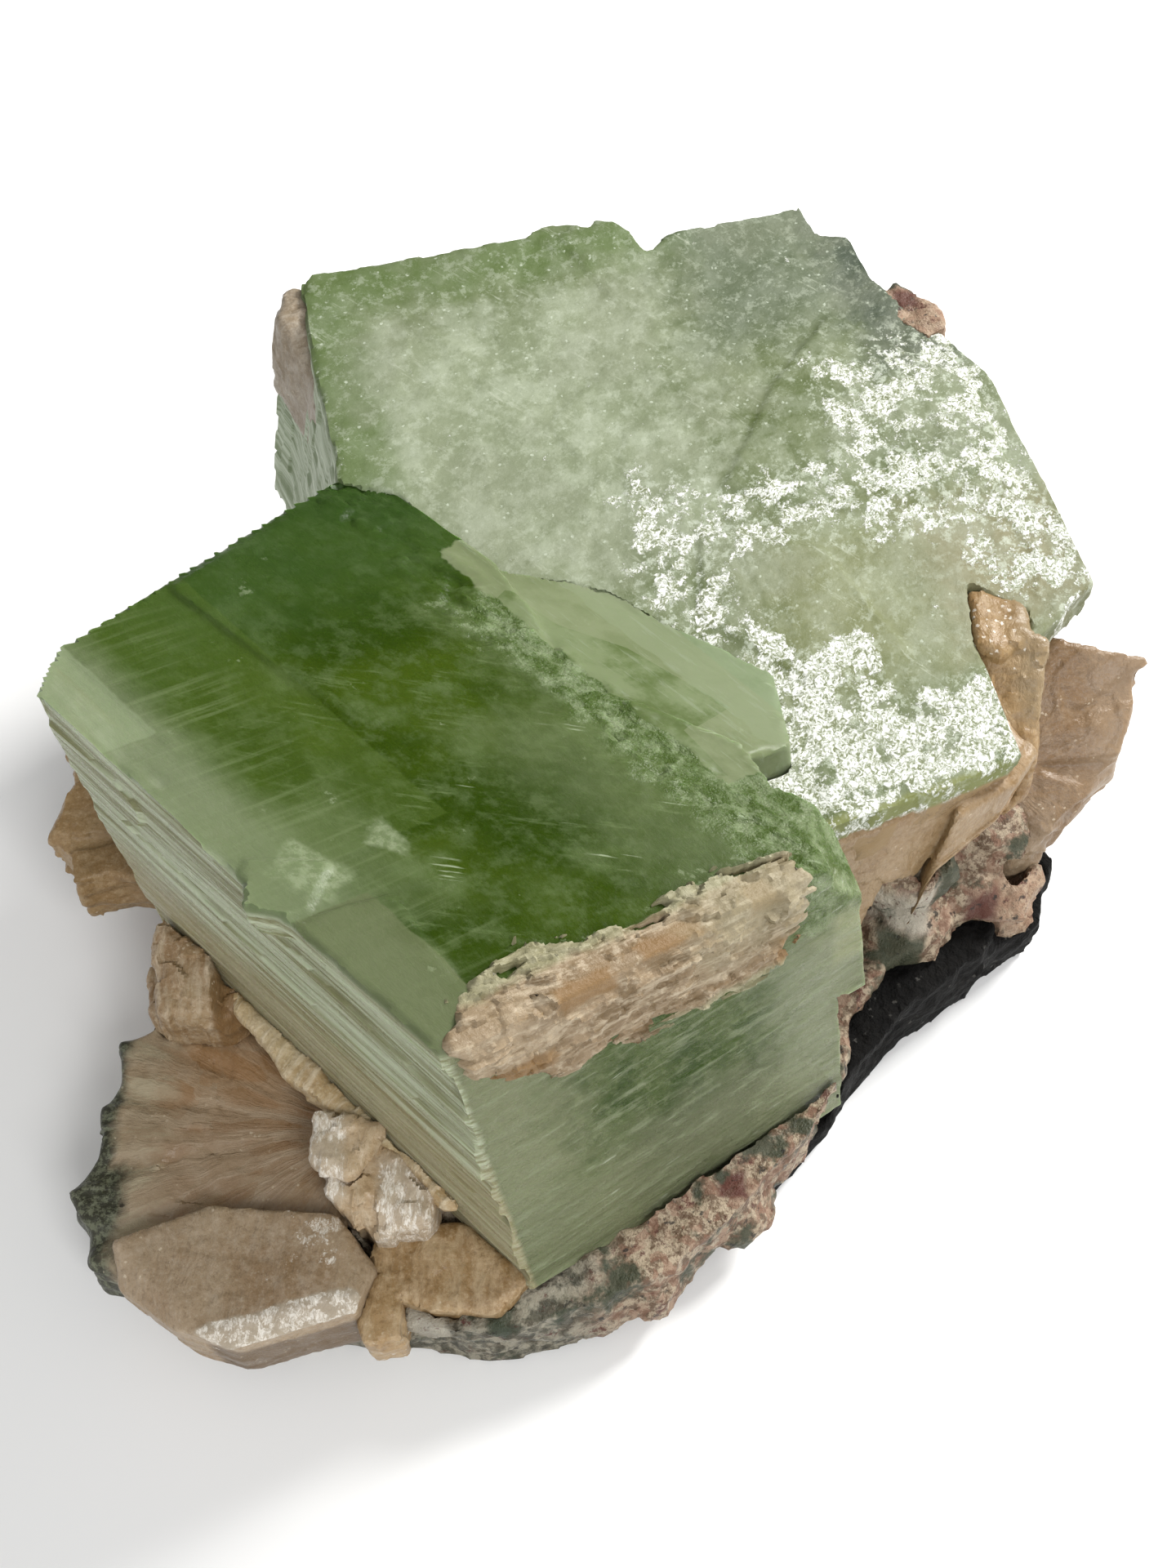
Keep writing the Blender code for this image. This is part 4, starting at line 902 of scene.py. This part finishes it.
PLATE_TONES = ((0.225, 0.136, 0.054), (0.285, 0.188, 0.088), (0.410, 0.305, 0.180))
fan = grow_fan("right_peach_fan", RIGHT_ROOT, leaves=1.6, soften=14, folds=1.0, feather=0.0)
dress(fan, right_fan_paint(), "peach_stilbite", "right_peach_fan")
fan = grow_fan("lower_left_peach_fan", LEFT_ROOT, leaves=3.0, soften=40, folds=0.5, feather=0.16)
dress(fan, left_fan_paint(), "peach_stilbite", "lower_left_peach_fan")
fan = grow_fan("left_peach_plate", PLATE_ROOT, leaves=2.4, soften=8, folds=1.2, feather=0.22)
dress(fan, simple_peach("left_plate_pearl", PLATE_ROOT, PLATE_TONES, 9, 0.35), "peach_stilbite",
      "left_peach_plate")


def grow_blade(node, seed, swell, soften, grow, flutes):
    """A single stout blade or block with worn edges, upright flutes and an uneven skin."""
    piece = fine_copy(node, node + "_crystal", PLAIN_AXES, MIDDLE, BLADE_CELL, soften)
    points, normals = points_and_normals(piece)
    rise = grow + 0.22 * waves(points * 0.20, seed) + 0.12 * waves(points * 0.55, seed + 1)
    rise += 0.14 * np.round(1.5 * waves(stretched(points, 0.25, 0.25, 0.5), seed + 2))
    rise += 0.05 * waves(points * 1.3, seed + 3)
    rise += flutes * plates(stretched(points, 0.50, 0.50, 0.05), seed + 4)
    points = points + push(swell * rise, normals)
    if node == "front_peach_blade":          # its left end reaches over the fan
        points[:, 0] += 0.42 * np.clip(points[:, 0] + 37.5, None, 0)
        points[:, 2] = np.maximum(points[:, 2], 5.0)
    if node == "front_peach_slab":           # its lower edge runs straight to the right
        notch = between(points[:, 0], 28.5, 30.0) * between(-points[:, 0], -34.8, -33.8)
        foot = 22.7 + 3.5 * notch
        share = np.clip((30.5 - points[:, 2]) / (30.5 - foot), 0, 1)
        points[:, 2] -= (foot - 22.7) * share
        line = 28.6 + 0.25 * (points[:, 0] - 34)
        points[:, 2] += 0.85 * between(points[:, 0], 33.4, 35.4) * np.clip(line - points[:, 2], 0, None)
        points += push(1.3 * between(-points[:, 0], -46, -33), (0.42, -0.90, 0.0))
    if node == "left_peach_column":          # a slim stem, with a lower shoulder at its right
        right_part = between(points[:, 0] + 0.12 * points[:, 1], -44.9, -43.9)
        points[:, 2] -= 2.2 * right_part * between(points[:, 2], 12, 20)
    if node == "rear_peach_coat":            # it dies out in the crystal's side
        sunk = 0.3 + between(-points[:, 1], -38, -31)
        points += push(sunk, (2.2, 0.0, -2.6))
    move_points(piece, points)
    return piece


def glitter_blade_paint():
    """The front blade: pinkish grey on top, with a painted highlight and painted glitter along its bevel,
    orange brown below.
    """
    tones = ((0.245, 0.160, 0.085), (0.330, 0.245, 0.155), (0.430, 0.350, 0.260))
    root = (-30, -140, 0)
    paint, shader, r, spot, colour, threads = peach_body("front_blade_pearl", root, tones, 60, 0.3)
    below = zone(r, spot, (-38, -FAR, -FAR), (FAR, FAR, 13.8), 1.2, 0.8)
    colour = r.lay(colour, below, 0.80, (0.110, 0.070, 0.036))
    # painted highlight: a pale band along the bevel, where it reflects the light, with painted glitter on
    # it and at the far top right
    from_bevel = r.arrow("SUBTRACT", spot, (-29.7, -66.1, 17.85))
    off_bevel = r.math("ABSOLUTE", r.arrow("DOT_PRODUCT", from_bevel, (0.16, -0.62, 0.75)))
    bevel = r.ramp(off_bevel, 0.62, 0.30)
    bevel = r.product(bevel, zone(r, spot, (-41.5, -FAR, 12.5), (-21.5, FAR, FAR), 2, 2))
    far_painted_glitter = zone(r, spot, (-30.5, -61, -FAR), (-25, -54, FAR), 4, 4)
    colour = r.lay(colour, bevel, 0.6, (0.400, 0.355, 0.280))
    share = r.either(r.product(bevel, 0.62), r.product(far_painted_glitter, 0.42))
    sheets = r.group("patch", {"Place": spot, "Size": 1.6, "Share": share})
    foil = r.group("foil", {"Place": r.scaled(spot, 1.3, 0.7, 0.7), "Size": 0.5})
    foil = r.product(r.product(foil, sheets), 0.75)
    peach_finish(shader, r, spot, colour, threads, foil, rough=0.36)
    return paint


def glitter_block_paint():
    """The upper block: beige, with painted glitter highlights on an etched patch at each end."""
    tones = ((0.330, 0.215, 0.110), (0.460, 0.335, 0.200), (0.600, 0.500, 0.360))
    root = (-22, -160, 0)
    paint, shader, r, spot, colour, threads = peach_body("upper_block_pearl", root, tones, 90, 0.5)
    # painted highlight: a pale tone and near-white glitter at both ends
    near_end = zone(r, spot, (-29.5, -56.5, -FAR), (-25.2, -46.0, FAR), 1.5, 2.0)
    far_end = zone(r, spot, (-22.0, -60.0, -FAR), (-16.0, -52.0, FAR), 1.8, 2.0)
    share = r.either(near_end, far_end)
    colour = r.lay(colour, share, 0.5, (0.480, 0.430, 0.350))
    sheets = r.group("patch", {"Place": r.scaled(spot, 1.6, 0.6, 0.6), "Size": 1.6,
                               "Share": r.product(share, 0.55)})
    foil = r.group("foil", {"Place": r.scaled(spot, 1.5, 0.6, 0.6), "Size": 0.5})
    foil = r.product(r.product(foil, sheets), 0.85)
    peach_finish(shader, r, spot, colour, threads, foil, rough=0.32)
    return paint


def stem_paint():
    """The left column: a pale stem, with a browner blade behind its right side."""
    tones = ((0.230, 0.140, 0.065), (0.340, 0.240, 0.135), (0.520, 0.430, 0.310))
    paint, shader, r, spot, colour, threads = peach_body("stem_pearl", (-44, -120, 0), tones, 90, 0.7)
    behind = zone(r, spot, (-40.6, -FAR, -FAR), (FAR, FAR, FAR), 0.8, 1.4)
    colour = r.lay(colour, behind, 0.80, (0.200, 0.112, 0.042))
    peach_finish(shader, r, spot, colour, threads)
    return paint


def lower_block_paint():
    """The lower block: honey coloured, with pale streaks and bright specks painted as glints along its
    foot.
    """
    tones = ((0.235, 0.140, 0.055), (0.350, 0.228, 0.105), (0.520, 0.400, 0.250))
    root = (-14, -160, 0)
    paint, shader, r, spot, colour, threads = peach_body("lower_block_pearl", root, tones, 60, 0.5)
    pale = r.ramp(r.cloud(r.scaled(spot, 0.40, 0.14, 0.60), 1.0, 4, 0.62), 0.50, 0.64)
    colour = r.lay(colour, pale, 0.50, (0.500, 0.390, 0.245))
    foot = zone(r, spot, (-FAR, -FAR, -FAR), (FAR, FAR, 9.0), 3, 3)
    # painted glints: bright specks along the foot
    specks = r.group("flecks", {"Place": spot, "Size": 0.5, "Share": r.product(foot, 0.16)})
    peach_finish(shader, r, spot, colour, threads, r.product(specks, 0.7), rough=0.34)
    return paint


def column_paint():
    """The column in the notch: orange with bright specks painted as glints at its head, pale along its
    right.
    """
    tones = ((0.225, 0.130, 0.050), (0.270, 0.170, 0.072), (0.370, 0.270, 0.150))
    root = (42, -60, 0)
    paint, shader, r, spot, colour, threads = peach_body("notch_column_pearl", root, tones, 30, 0.25)
    pale = zone(r, spot, (45.2, -9, -FAR), (FAR, FAR, FAR), 3.0, 1.4)
    colour = r.lay(colour, pale, 0.55, (0.220, 0.172, 0.100))
    head = zone(r, spot, (-FAR, -2.5, 27), (FAR, FAR, FAR), 5, 3)
    # painted glints: bright specks on the head
    specks = r.group("flecks", {"Place": spot, "Size": 0.55, "Share": r.product(head, 0.22)})
    peach_finish(shader, r, spot, colour, threads, r.product(specks, 0.6), rough=0.40)
    return paint


SLAB_TONES = ((0.225, 0.140, 0.062), (0.290, 0.195, 0.100), (0.370, 0.280, 0.180))
FRINGE_TONES = ((0.400, 0.280, 0.140), (0.500, 0.400, 0.235), (0.640, 0.560, 0.410))
COAT_TONES = ((0.230, 0.180, 0.120), (0.310, 0.260, 0.195), (0.440, 0.390, 0.320))
slab_pearl = simple_peach("slab_pearl", (80, -60, 0), SLAB_TONES, 50, 0.3)
fringe_pearl = simple_peach("fringe_pearl", (-60, -90, 0), FRINGE_TONES, 60, 0.6)
coat_pearl = simple_peach("coat_pearl", (-90, 0, 0), COAT_TONES, 60, 0.5)
BLADES = [             # node, seed, swell, soften, grow, flutes, finish, slot
    ("front_peach_slab", 90, 0.8, 10, 0.2, 0.0, slab_pearl, "peach_stilbite"),
    ("notch_peach_column", 95, 1.0, 8, 0.6, 0.15, column_paint(), "peach_stilbite"),
    ("left_peach_column", 100, 1.0, 5, 0.6, 0.35, stem_paint(), "peach_stilbite"),
    ("front_peach_blade", 105, 0.8, 4, 0.2, 0.0, glitter_blade_paint(), "peach_stilbite"),
    ("lower_peach_block", 110, 0.8, 4, 0.6, 0.15, lower_block_paint(), "peach_stilbite"),
    ("upper_peach_block", 115, 0.9, 4, 0.6, 0.40, glitter_block_paint(), "cream_stilbite"),
    ("peach_fringe", 120, 2.0, 3, 0.2, 0.0, fringe_pearl, "cream_stilbite"),
    ("rear_peach_coat", 125, 1.6, 6, 0.2, 0.0, coat_pearl, "cream_stilbite"),
]
for node, seed, swell, soften, grow, flutes, pearl, slot in BLADES:
    dress(grow_blade(node, seed, swell, soften, grow, flutes), pearl, slot, node)


# ---- ridge cap -------------------------------------------------------------------------------
# A sheaf of cream stilbite splinters grown over the front crystal's near ridge. It fans out at
# its left end, is broken open along its middle to a brown inside, and ends in ragged flakes.
CAP_OUTLINE = [(0.9, 1.2), (4.7, 3.8), (6.3, 4.5), (9.0, 4.6), (12.4, 5.5), (16.6, 4.1), (20.0, 3.4),
               (21.8, 2.5), (24.7, 3.0), (27.1, 4.8), (28.7, 4.6), (31.5, 3.6), (32.4, 2.6), (36.0, 3.2),
               (38.8, 2.2), (38.2, -0.9), (37.9, -6.4), (37.1, -9.3), (35.6, -12.0), (30.8, -12.7),
               (24.4, -11.7), (19.7, -11.7), (15.0, -10.7), (11.0, -11.2), (7.4, -10.5), (3.3, -6.8),
               (1.1, -2.5)]        # along the ridge, and across it: above 0 on top, below 0 in front
CAP_CELL = 0.22        # spacing of its grid of points, mm
CAP_DEPTH = 2.2        # how far its foot reaches into the crystal, mm


def inside_by(places, outline):
    """Distance from a closed outline, positive inside it."""
    starts = np.array(outline)
    nearest = np.full(len(places), 1e9)
    inside = np.zeros(len(places), bool)
    for start, step in zip(starts, np.roll(starts, -1, axis=0) - starts):
        offset = places - start
        share = np.clip(offset @ step / (step @ step), 0, 1)
        nearest = np.minimum(nearest, np.linalg.norm(offset - share[:, None] * step, axis=1))
        crosses = (offset[:, 1] < 0) != (offset[:, 1] < step[1])
        slope = step[0] / step[1] if step[1] else 0.0
        inside ^= crosses & (offset[:, 0] < slope * offset[:, 1])
    return np.where(inside, nearest, -nearest)


def pit(places, middle, reach, deep):
    """A hollow with steep, uneven sides."""
    gap = np.linalg.norm((places[:, :2] - np.array(middle)) / np.array(reach), axis=1)
    return deep * (1 - between(gap + 0.35 * waves(places * 0.8, 106), 0.75, 1.0))


CAP_START = (0.5, -14.0)       # where the grid begins, along and across the ridge, mm
CAP_REACH = (39.5, 21.0)
wide, tall = [int(reach / CAP_CELL) for reach in CAP_REACH]
along, across = np.meshgrid(CAP_START[0] + CAP_CELL * np.arange(wide),
                            CAP_START[1] + CAP_CELL * np.arange(tall), indexing="ij")
along = along.ravel()
across = across.ravel()
flat = np.stack([along, across, along * 0], axis=1)
spread = (across + 3) * 12 / (12 + 0.55 * np.clip(16 - along, 0, None))
thread = np.stack([along, spread, along * 0], axis=1)
thread[:, 1] += 0.5 * waves(flat * 0.25, 100)
edge = inside_by(flat[:, :2], CAP_OUTLINE)
edge += 0.4 + 0.5 * waves(flat * 0.4, 104) + 1.05 * plates(stretched(thread, 0.25, 1.1, 0), 105)
lobe = between(-along, -16, -9)
cover = between(edge, 0.0, 1.2 + 3.0 * between(-across, 2.5, 8.5))
rise = 1.05 + 0.30 * waves(flat * 0.2, 101)
rise += 0.36 * (1 - 0.6 * lobe) * plates(stretched(thread, 0.24, 0.50, 0), 102)
rise += 0.22 * plates(stretched(thread, 0.6, 1.1, 0), 110)
rise += 0.07 * waves(stretched(thread, 0.6, 2.4, 0), 107)
rise += 0.10 * plates(stretched(thread, 1.0, 2.4, 0), 112)
rise += 0.26 * lobe * plates(stretched(thread, 0.16, 1.4, 0), 111)
rise -= pit(flat, (13.6, -0.4), (3.2, 1.7), 0.8) + pit(flat, (22.5, 0.5), (3.6, 1.2), 0.8)
rise -= pit(flat, (32.8, 0.2), (1.8, 2.0), 0.5) + pit(flat, (36.4, -8.4), (2.4, 2.4), 0.5)
rise -= 0.30 * np.exp(-(across / 1.2) ** 2) + 0.35 * between(along, 32, 38)
rise = cover * (np.maximum(rise, 0.65) + 0.5) - 0.5
lean = between(across, -1.6, 1.6)[:, None]
out = lean * np.array(TOP_WAY) + (1 - lean) * np.array(FRONT_WAY)
out /= np.linalg.norm(out, axis=1)[:, None]
spine = np.array(FRONT_CORNER) + push(along, FRONT_AXES[1])
spine = spine + push(np.clip(across, 0, None), FRONT_AXES[0])
spine = spine + push(np.clip(-across, 0, None), FRONT_AXES[2])
skin = spine + push(rise, out)
foot = spine - CAP_DEPTH * out


def closed_sheet(name, upper, lower, wide, tall):
    """A solid between two grids of points of the same size."""
    count = wide * tall
    cells = [(i * tall + j, (i + 1) * tall + j, (i + 1) * tall + j + 1, i * tall + j + 1)
             for i in range(wide - 1) for j in range(tall - 1)]
    loop = [i * tall for i in range(wide)] + [(wide - 1) * tall + j for j in range(1, tall)]
    loop += [i * tall + tall - 1 for i in range(wide - 2, -1, -1)] + [j for j in range(tall - 2, 0, -1)]
    walls = [(a, a + count, b + count, b) for a, b in zip(loop, loop[1:] + loop[:1])]
    under = [tuple(count + k for k in reversed(cell)) for cell in cells]
    mesh = bpy.data.meshes.new(name)
    mesh.from_pydata((np.concatenate([upper, lower]) * MM).tolist(), [], cells + under + walls)
    piece = bpy.data.objects.new(name, mesh)
    bpy.context.scene.collection.objects.link(piece)
    return piece


cap = closed_sheet("ridge_cap_splinters", skin, foot, wide, tall)


def cap_paint():
    paint, shader, r = new_material("cream_stilbite_splinters")
    where = slanted_place(r, FRONT_AXES, FRONT_CORNER)
    back, right, down = r.parts(where)
    across = r.math("SUBTRACT", back, down)
    leftwards = r.either(r.math("SUBTRACT", 16.0, right), 0.0)
    splay = r.math("DIVIDE", 12.0, r.math("ADD", 12.0, r.product(leftwards, 0.55)))
    flat = r.joined(right, across)
    fanned = r.joined(r.product(right, 0.18), r.product(r.math("ADD", across, 3.0), splay))
    colour = r.mixed(r.ramp(r.cloud(flat, 0.22, 5, 0.6), 0.38, 0.62), (0.175, 0.118, 0.058),
                     (0.262, 0.190, 0.112))
    threads = r.cloud(fanned, 0.8, 5, 0.72)
    colour = r.lay(colour, r.ramp(threads, 0.48, 0.64), 0.7, (0.470, 0.390, 0.275))
    chips = r.ramp(r.cloud(flat, 0.7, 4, 0.7), 0.52, 0.66)
    colour = r.lay(colour, chips, 0.5, (0.540, 0.455, 0.330))
    brown = zone(r, flat, (10.8, -2.0, -FAR), (16.6, 1.0, FAR), 0.9, 2.6)
    more = [((19.5, -0.6), (26.0, 1.6)), ((31.4, -1.6), (34.4, 1.8)), ((33.5, -11.0), (38.5, -6.5)),
            ((1.5, -8.0), (9.0, -5.2))]
    for low, high in more:
        brown = r.either(brown, zone(r, flat, (*low, -FAR), (*high, FAR), 1.2, 2.6))
    left_lobe = zone(r, flat, (-FAR, -8, -FAR), (9.5, FAR, FAR), 4, 5)
    colour = r.lay(colour, left_lobe, 0.25, (0.420, 0.335, 0.225))
    colour = r.lay(colour, brown, 0.85, (0.205, 0.116, 0.040))
    cracks = r.ramp(threads, 0.42, 0.34)
    colour = r.lay(colour, cracks, 0.6, (0.200, 0.125, 0.050))
    greenish = r.either(zone(r, flat, (-FAR, 3.4, -FAR), (FAR, FAR, FAR), 1.2, 2.5),
                        zone(r, flat, (20, -FAR, -FAR), (FAR, -10.2, FAR), 1.6, 2.5))
    colour = r.lay(colour, greenish, 0.55, (0.300, 0.320, 0.190))
    right_end = r.product(zone(r, flat, (25.5, -6, -FAR), (FAR, FAR, FAR), 7, 6), 0.45)
    colour = r.mixed(right_end, colour, (0.300, 0.285, 0.180))
    r.feed(shader.inputs["Base Color"], colour)
    r.feed(shader.inputs["Roughness"], r.levels(threads, 0.40, 0.62))
    shader.inputs["Specular IOR Level"].default_value = 0.35
    fine = r.bump(r.cloud(where, 1.8, 3, 0.7), 0.0003, 0.5)
    r.feed(shader.inputs["Normal"], r.bump(threads, 0.0005, 0.4, fine))
    return paint


dress(cap, cap_paint(), "cream_stilbite", "ridge_peach_cap")


# ---- mottled crust ---------------------------------------------------------------------------
# The weathered rind of the rock: grains of cream and pink zeolite, brick-red iron stains and
# dark green celadonite, grown together in a thin bumpy shelf below the crystals.
ROCK_CELL = (0.62,) * 3        # mesh cell of the rock, mm
crust = fine_copy("mottled_crust", "mottled_crust_rind", PLAIN_AXES, MIDDLE, ROCK_CELL)
points, normals = points_and_normals(crust)
pebble = np.array([noise.voronoi(Vector(p) * 0.55)[0][0] for p in points])
crumb = np.array([noise.voronoi(Vector(p) * 1.1 + Vector((7, 3, 5)))[0][0] for p in points])
rise = 0.75 * waves(points * 0.16, 111) + 0.40 * waves(points * 0.45, 112)
rise += 0.55 * (0.45 - pebble) + 0.35 * (0.45 - crumb)
moved = points + push(rise * between(points[:, 2], 0.3, 2.5), normals)     # its foot stays flat
far_lump = np.array([38.5, 49.0, 40.0])
shrink = between(moved[:, 2], 33, 36)[:, None] * 0.28      # the lump at the far right is small
moved += shrink * (far_lump - moved)
moved[:, 2] = np.maximum(moved[:, 2], 0.0)
move_points(crust, moved)


def crust_paint():
    paint, shader, r = new_material("mottled_rind")
    spot = place_in_mm(r)
    grain = r.grains(r.arrow("ADD", spot, r.drift(spot, 0.5, 3.0)), 0.95)
    lucky = r.parts(grain.outputs["Color"])[0]

    def patch(middle, reach, soft=2.0):
        low = [m - reach for m in middle]
        high = [m + reach for m in middle]
        return zone(r, spot, low, high, soft, reach * 0.8)

    colour = r.mixed(r.ramp(r.cloud(spot, 0.9, 4, 0.75), 0.42, 0.58), (0.125, 0.078, 0.046),
                     (0.375, 0.300, 0.210))
    colour = r.lay(colour, r.ramp(lucky, 0.60, 0.72), 0.5, (0.230, 0.120, 0.080))
    low_left = zone(r, spot, (-FAR, -FAR, -FAR), (0, -57, FAR), 7, 5)
    mottle = r.mixed(r.ramp(r.cloud(spot, 0.5, 4, 0.65), 0.42, 0.60), (0.035, 0.040, 0.026),
                     (0.270, 0.255, 0.195))
    colour = r.lay(colour, low_left, 0.85, mottle)
    white = r.either(patch((-17.5, -64.5, 10), 2.4), patch((33.5, -22.9, 19), 3.6))
    colour = r.lay(colour, white, 0.85, (0.420, 0.390, 0.320))
    pink = r.either(patch((48.5, -18.2, 13), 4.0), patch((42.7, 49.1, 42), 6.0))
    colour = r.lay(colour, pink, 0.55, (0.330, 0.215, 0.140))
    red = r.ramp(r.cloud(r.arrow("ADD", spot, (31.0, 7.0, 5.0)), 0.42, 5, 0.75), 0.57, 0.66)
    chips = r.either(patch((13.6, -52.0, 12.6), 1.5, 0.8), patch((39.1, 53.1, 42), 1.6, 1.4))
    red = r.either(red, chips)
    red = r.either(red, patch((43.8, -19.9, 14.5), 1.8, 1.4))
    colour = r.lay(colour, red, 0.88, (0.075, 0.018, 0.012))
    green = r.ramp(r.cloud(r.arrow("ADD", spot, (3.0, 41.0, 9.0)), 0.16, 5, 0.62), 0.54, 0.64)
    pale = r.either(patch((40.0, -19.8, 21), 2.9, 1.2), patch((34.0, -24.5, 12.8), 2.6, 1.2))
    green = r.either(green, pale)
    colour = r.lay(colour, green, 0.88, (0.030, 0.042, 0.022))
    black = r.ramp(r.cloud(r.arrow("ADD", spot, (13.0, 4.0, 49.0)), 0.7, 4, 0.6), 0.60, 0.68)
    colour = r.lay(colour, black, 0.85, (0.015, 0.013, 0.010))
    r.feed(shader.inputs["Base Color"], colour)
    r.feed(shader.inputs["Roughness"], r.levels(lucky, 0.42, 0.75))
    shader.inputs["Specular IOR Level"].default_value = 0.35
    edge = r.bump(grain.outputs["Distance"], 0.0006, -0.8)
    r.feed(shader.inputs["Normal"], r.bump(r.cloud(spot, 2.0, 3, 0.7), 0.0005, 0.7, edge))
    return paint


dress(crust, crust_paint(), "mottled_crust_rock", "mottled_crust")


# ---- basalt ----------------------------------------------------------------------------------
# The host rock: dark, fine-grained basalt, broken to a rough face, with small gas pits. It
# lies under the crust, and shows only where the crust leaves its sides bare.
basalt = fine_copy("basalt_base", "basalt_rock", PLAIN_AXES, MIDDLE, ROCK_CELL)
points, normals = points_and_normals(basalt)
rise = 0.7 * waves(points * 0.18, 121) + 0.35 * waves(points * 0.5, 122) + 0.2 * waves(points * 1.1, 123)
moved = points + push(rise * between(points[:, 2], 0.3, 2.0), normals)
moved[:, 2] = np.maximum(moved[:, 2], 0.0)
move_points(basalt, moved)


def basalt_paint():
    paint, shader, r = new_material("basalt_face")
    spot = place_in_mm(r)
    colour = r.mixed(r.ramp(r.cloud(spot, 0.3, 5, 0.65), 0.35, 0.65), (0.002, 0.0018, 0.0016),
                     (0.007, 0.0066, 0.0060))
    specks = r.group("flecks", {"Place": spot, "Size": 0.7, "Share": 0.07})
    colour = r.lay(colour, specks, 0.5, (0.11, 0.105, 0.095))
    r.feed(shader.inputs["Base Color"], colour)
    r.feed(shader.inputs["Roughness"], r.levels(r.cloud(spot, 1.2, 3), 0.55, 0.9))
    pits = r.bump(r.grains(spot, 0.9).outputs["Distance"], 0.0006, 0.6)
    r.feed(shader.inputs["Normal"], r.bump(r.cloud(spot, 2.2, 3, 0.72), 0.0006, 0.9, pits))
    shader.inputs["Specular IOR Level"].default_value = 0.12
    return paint


dress(basalt, basalt_paint(), "dark_basalt", "basalt_base")
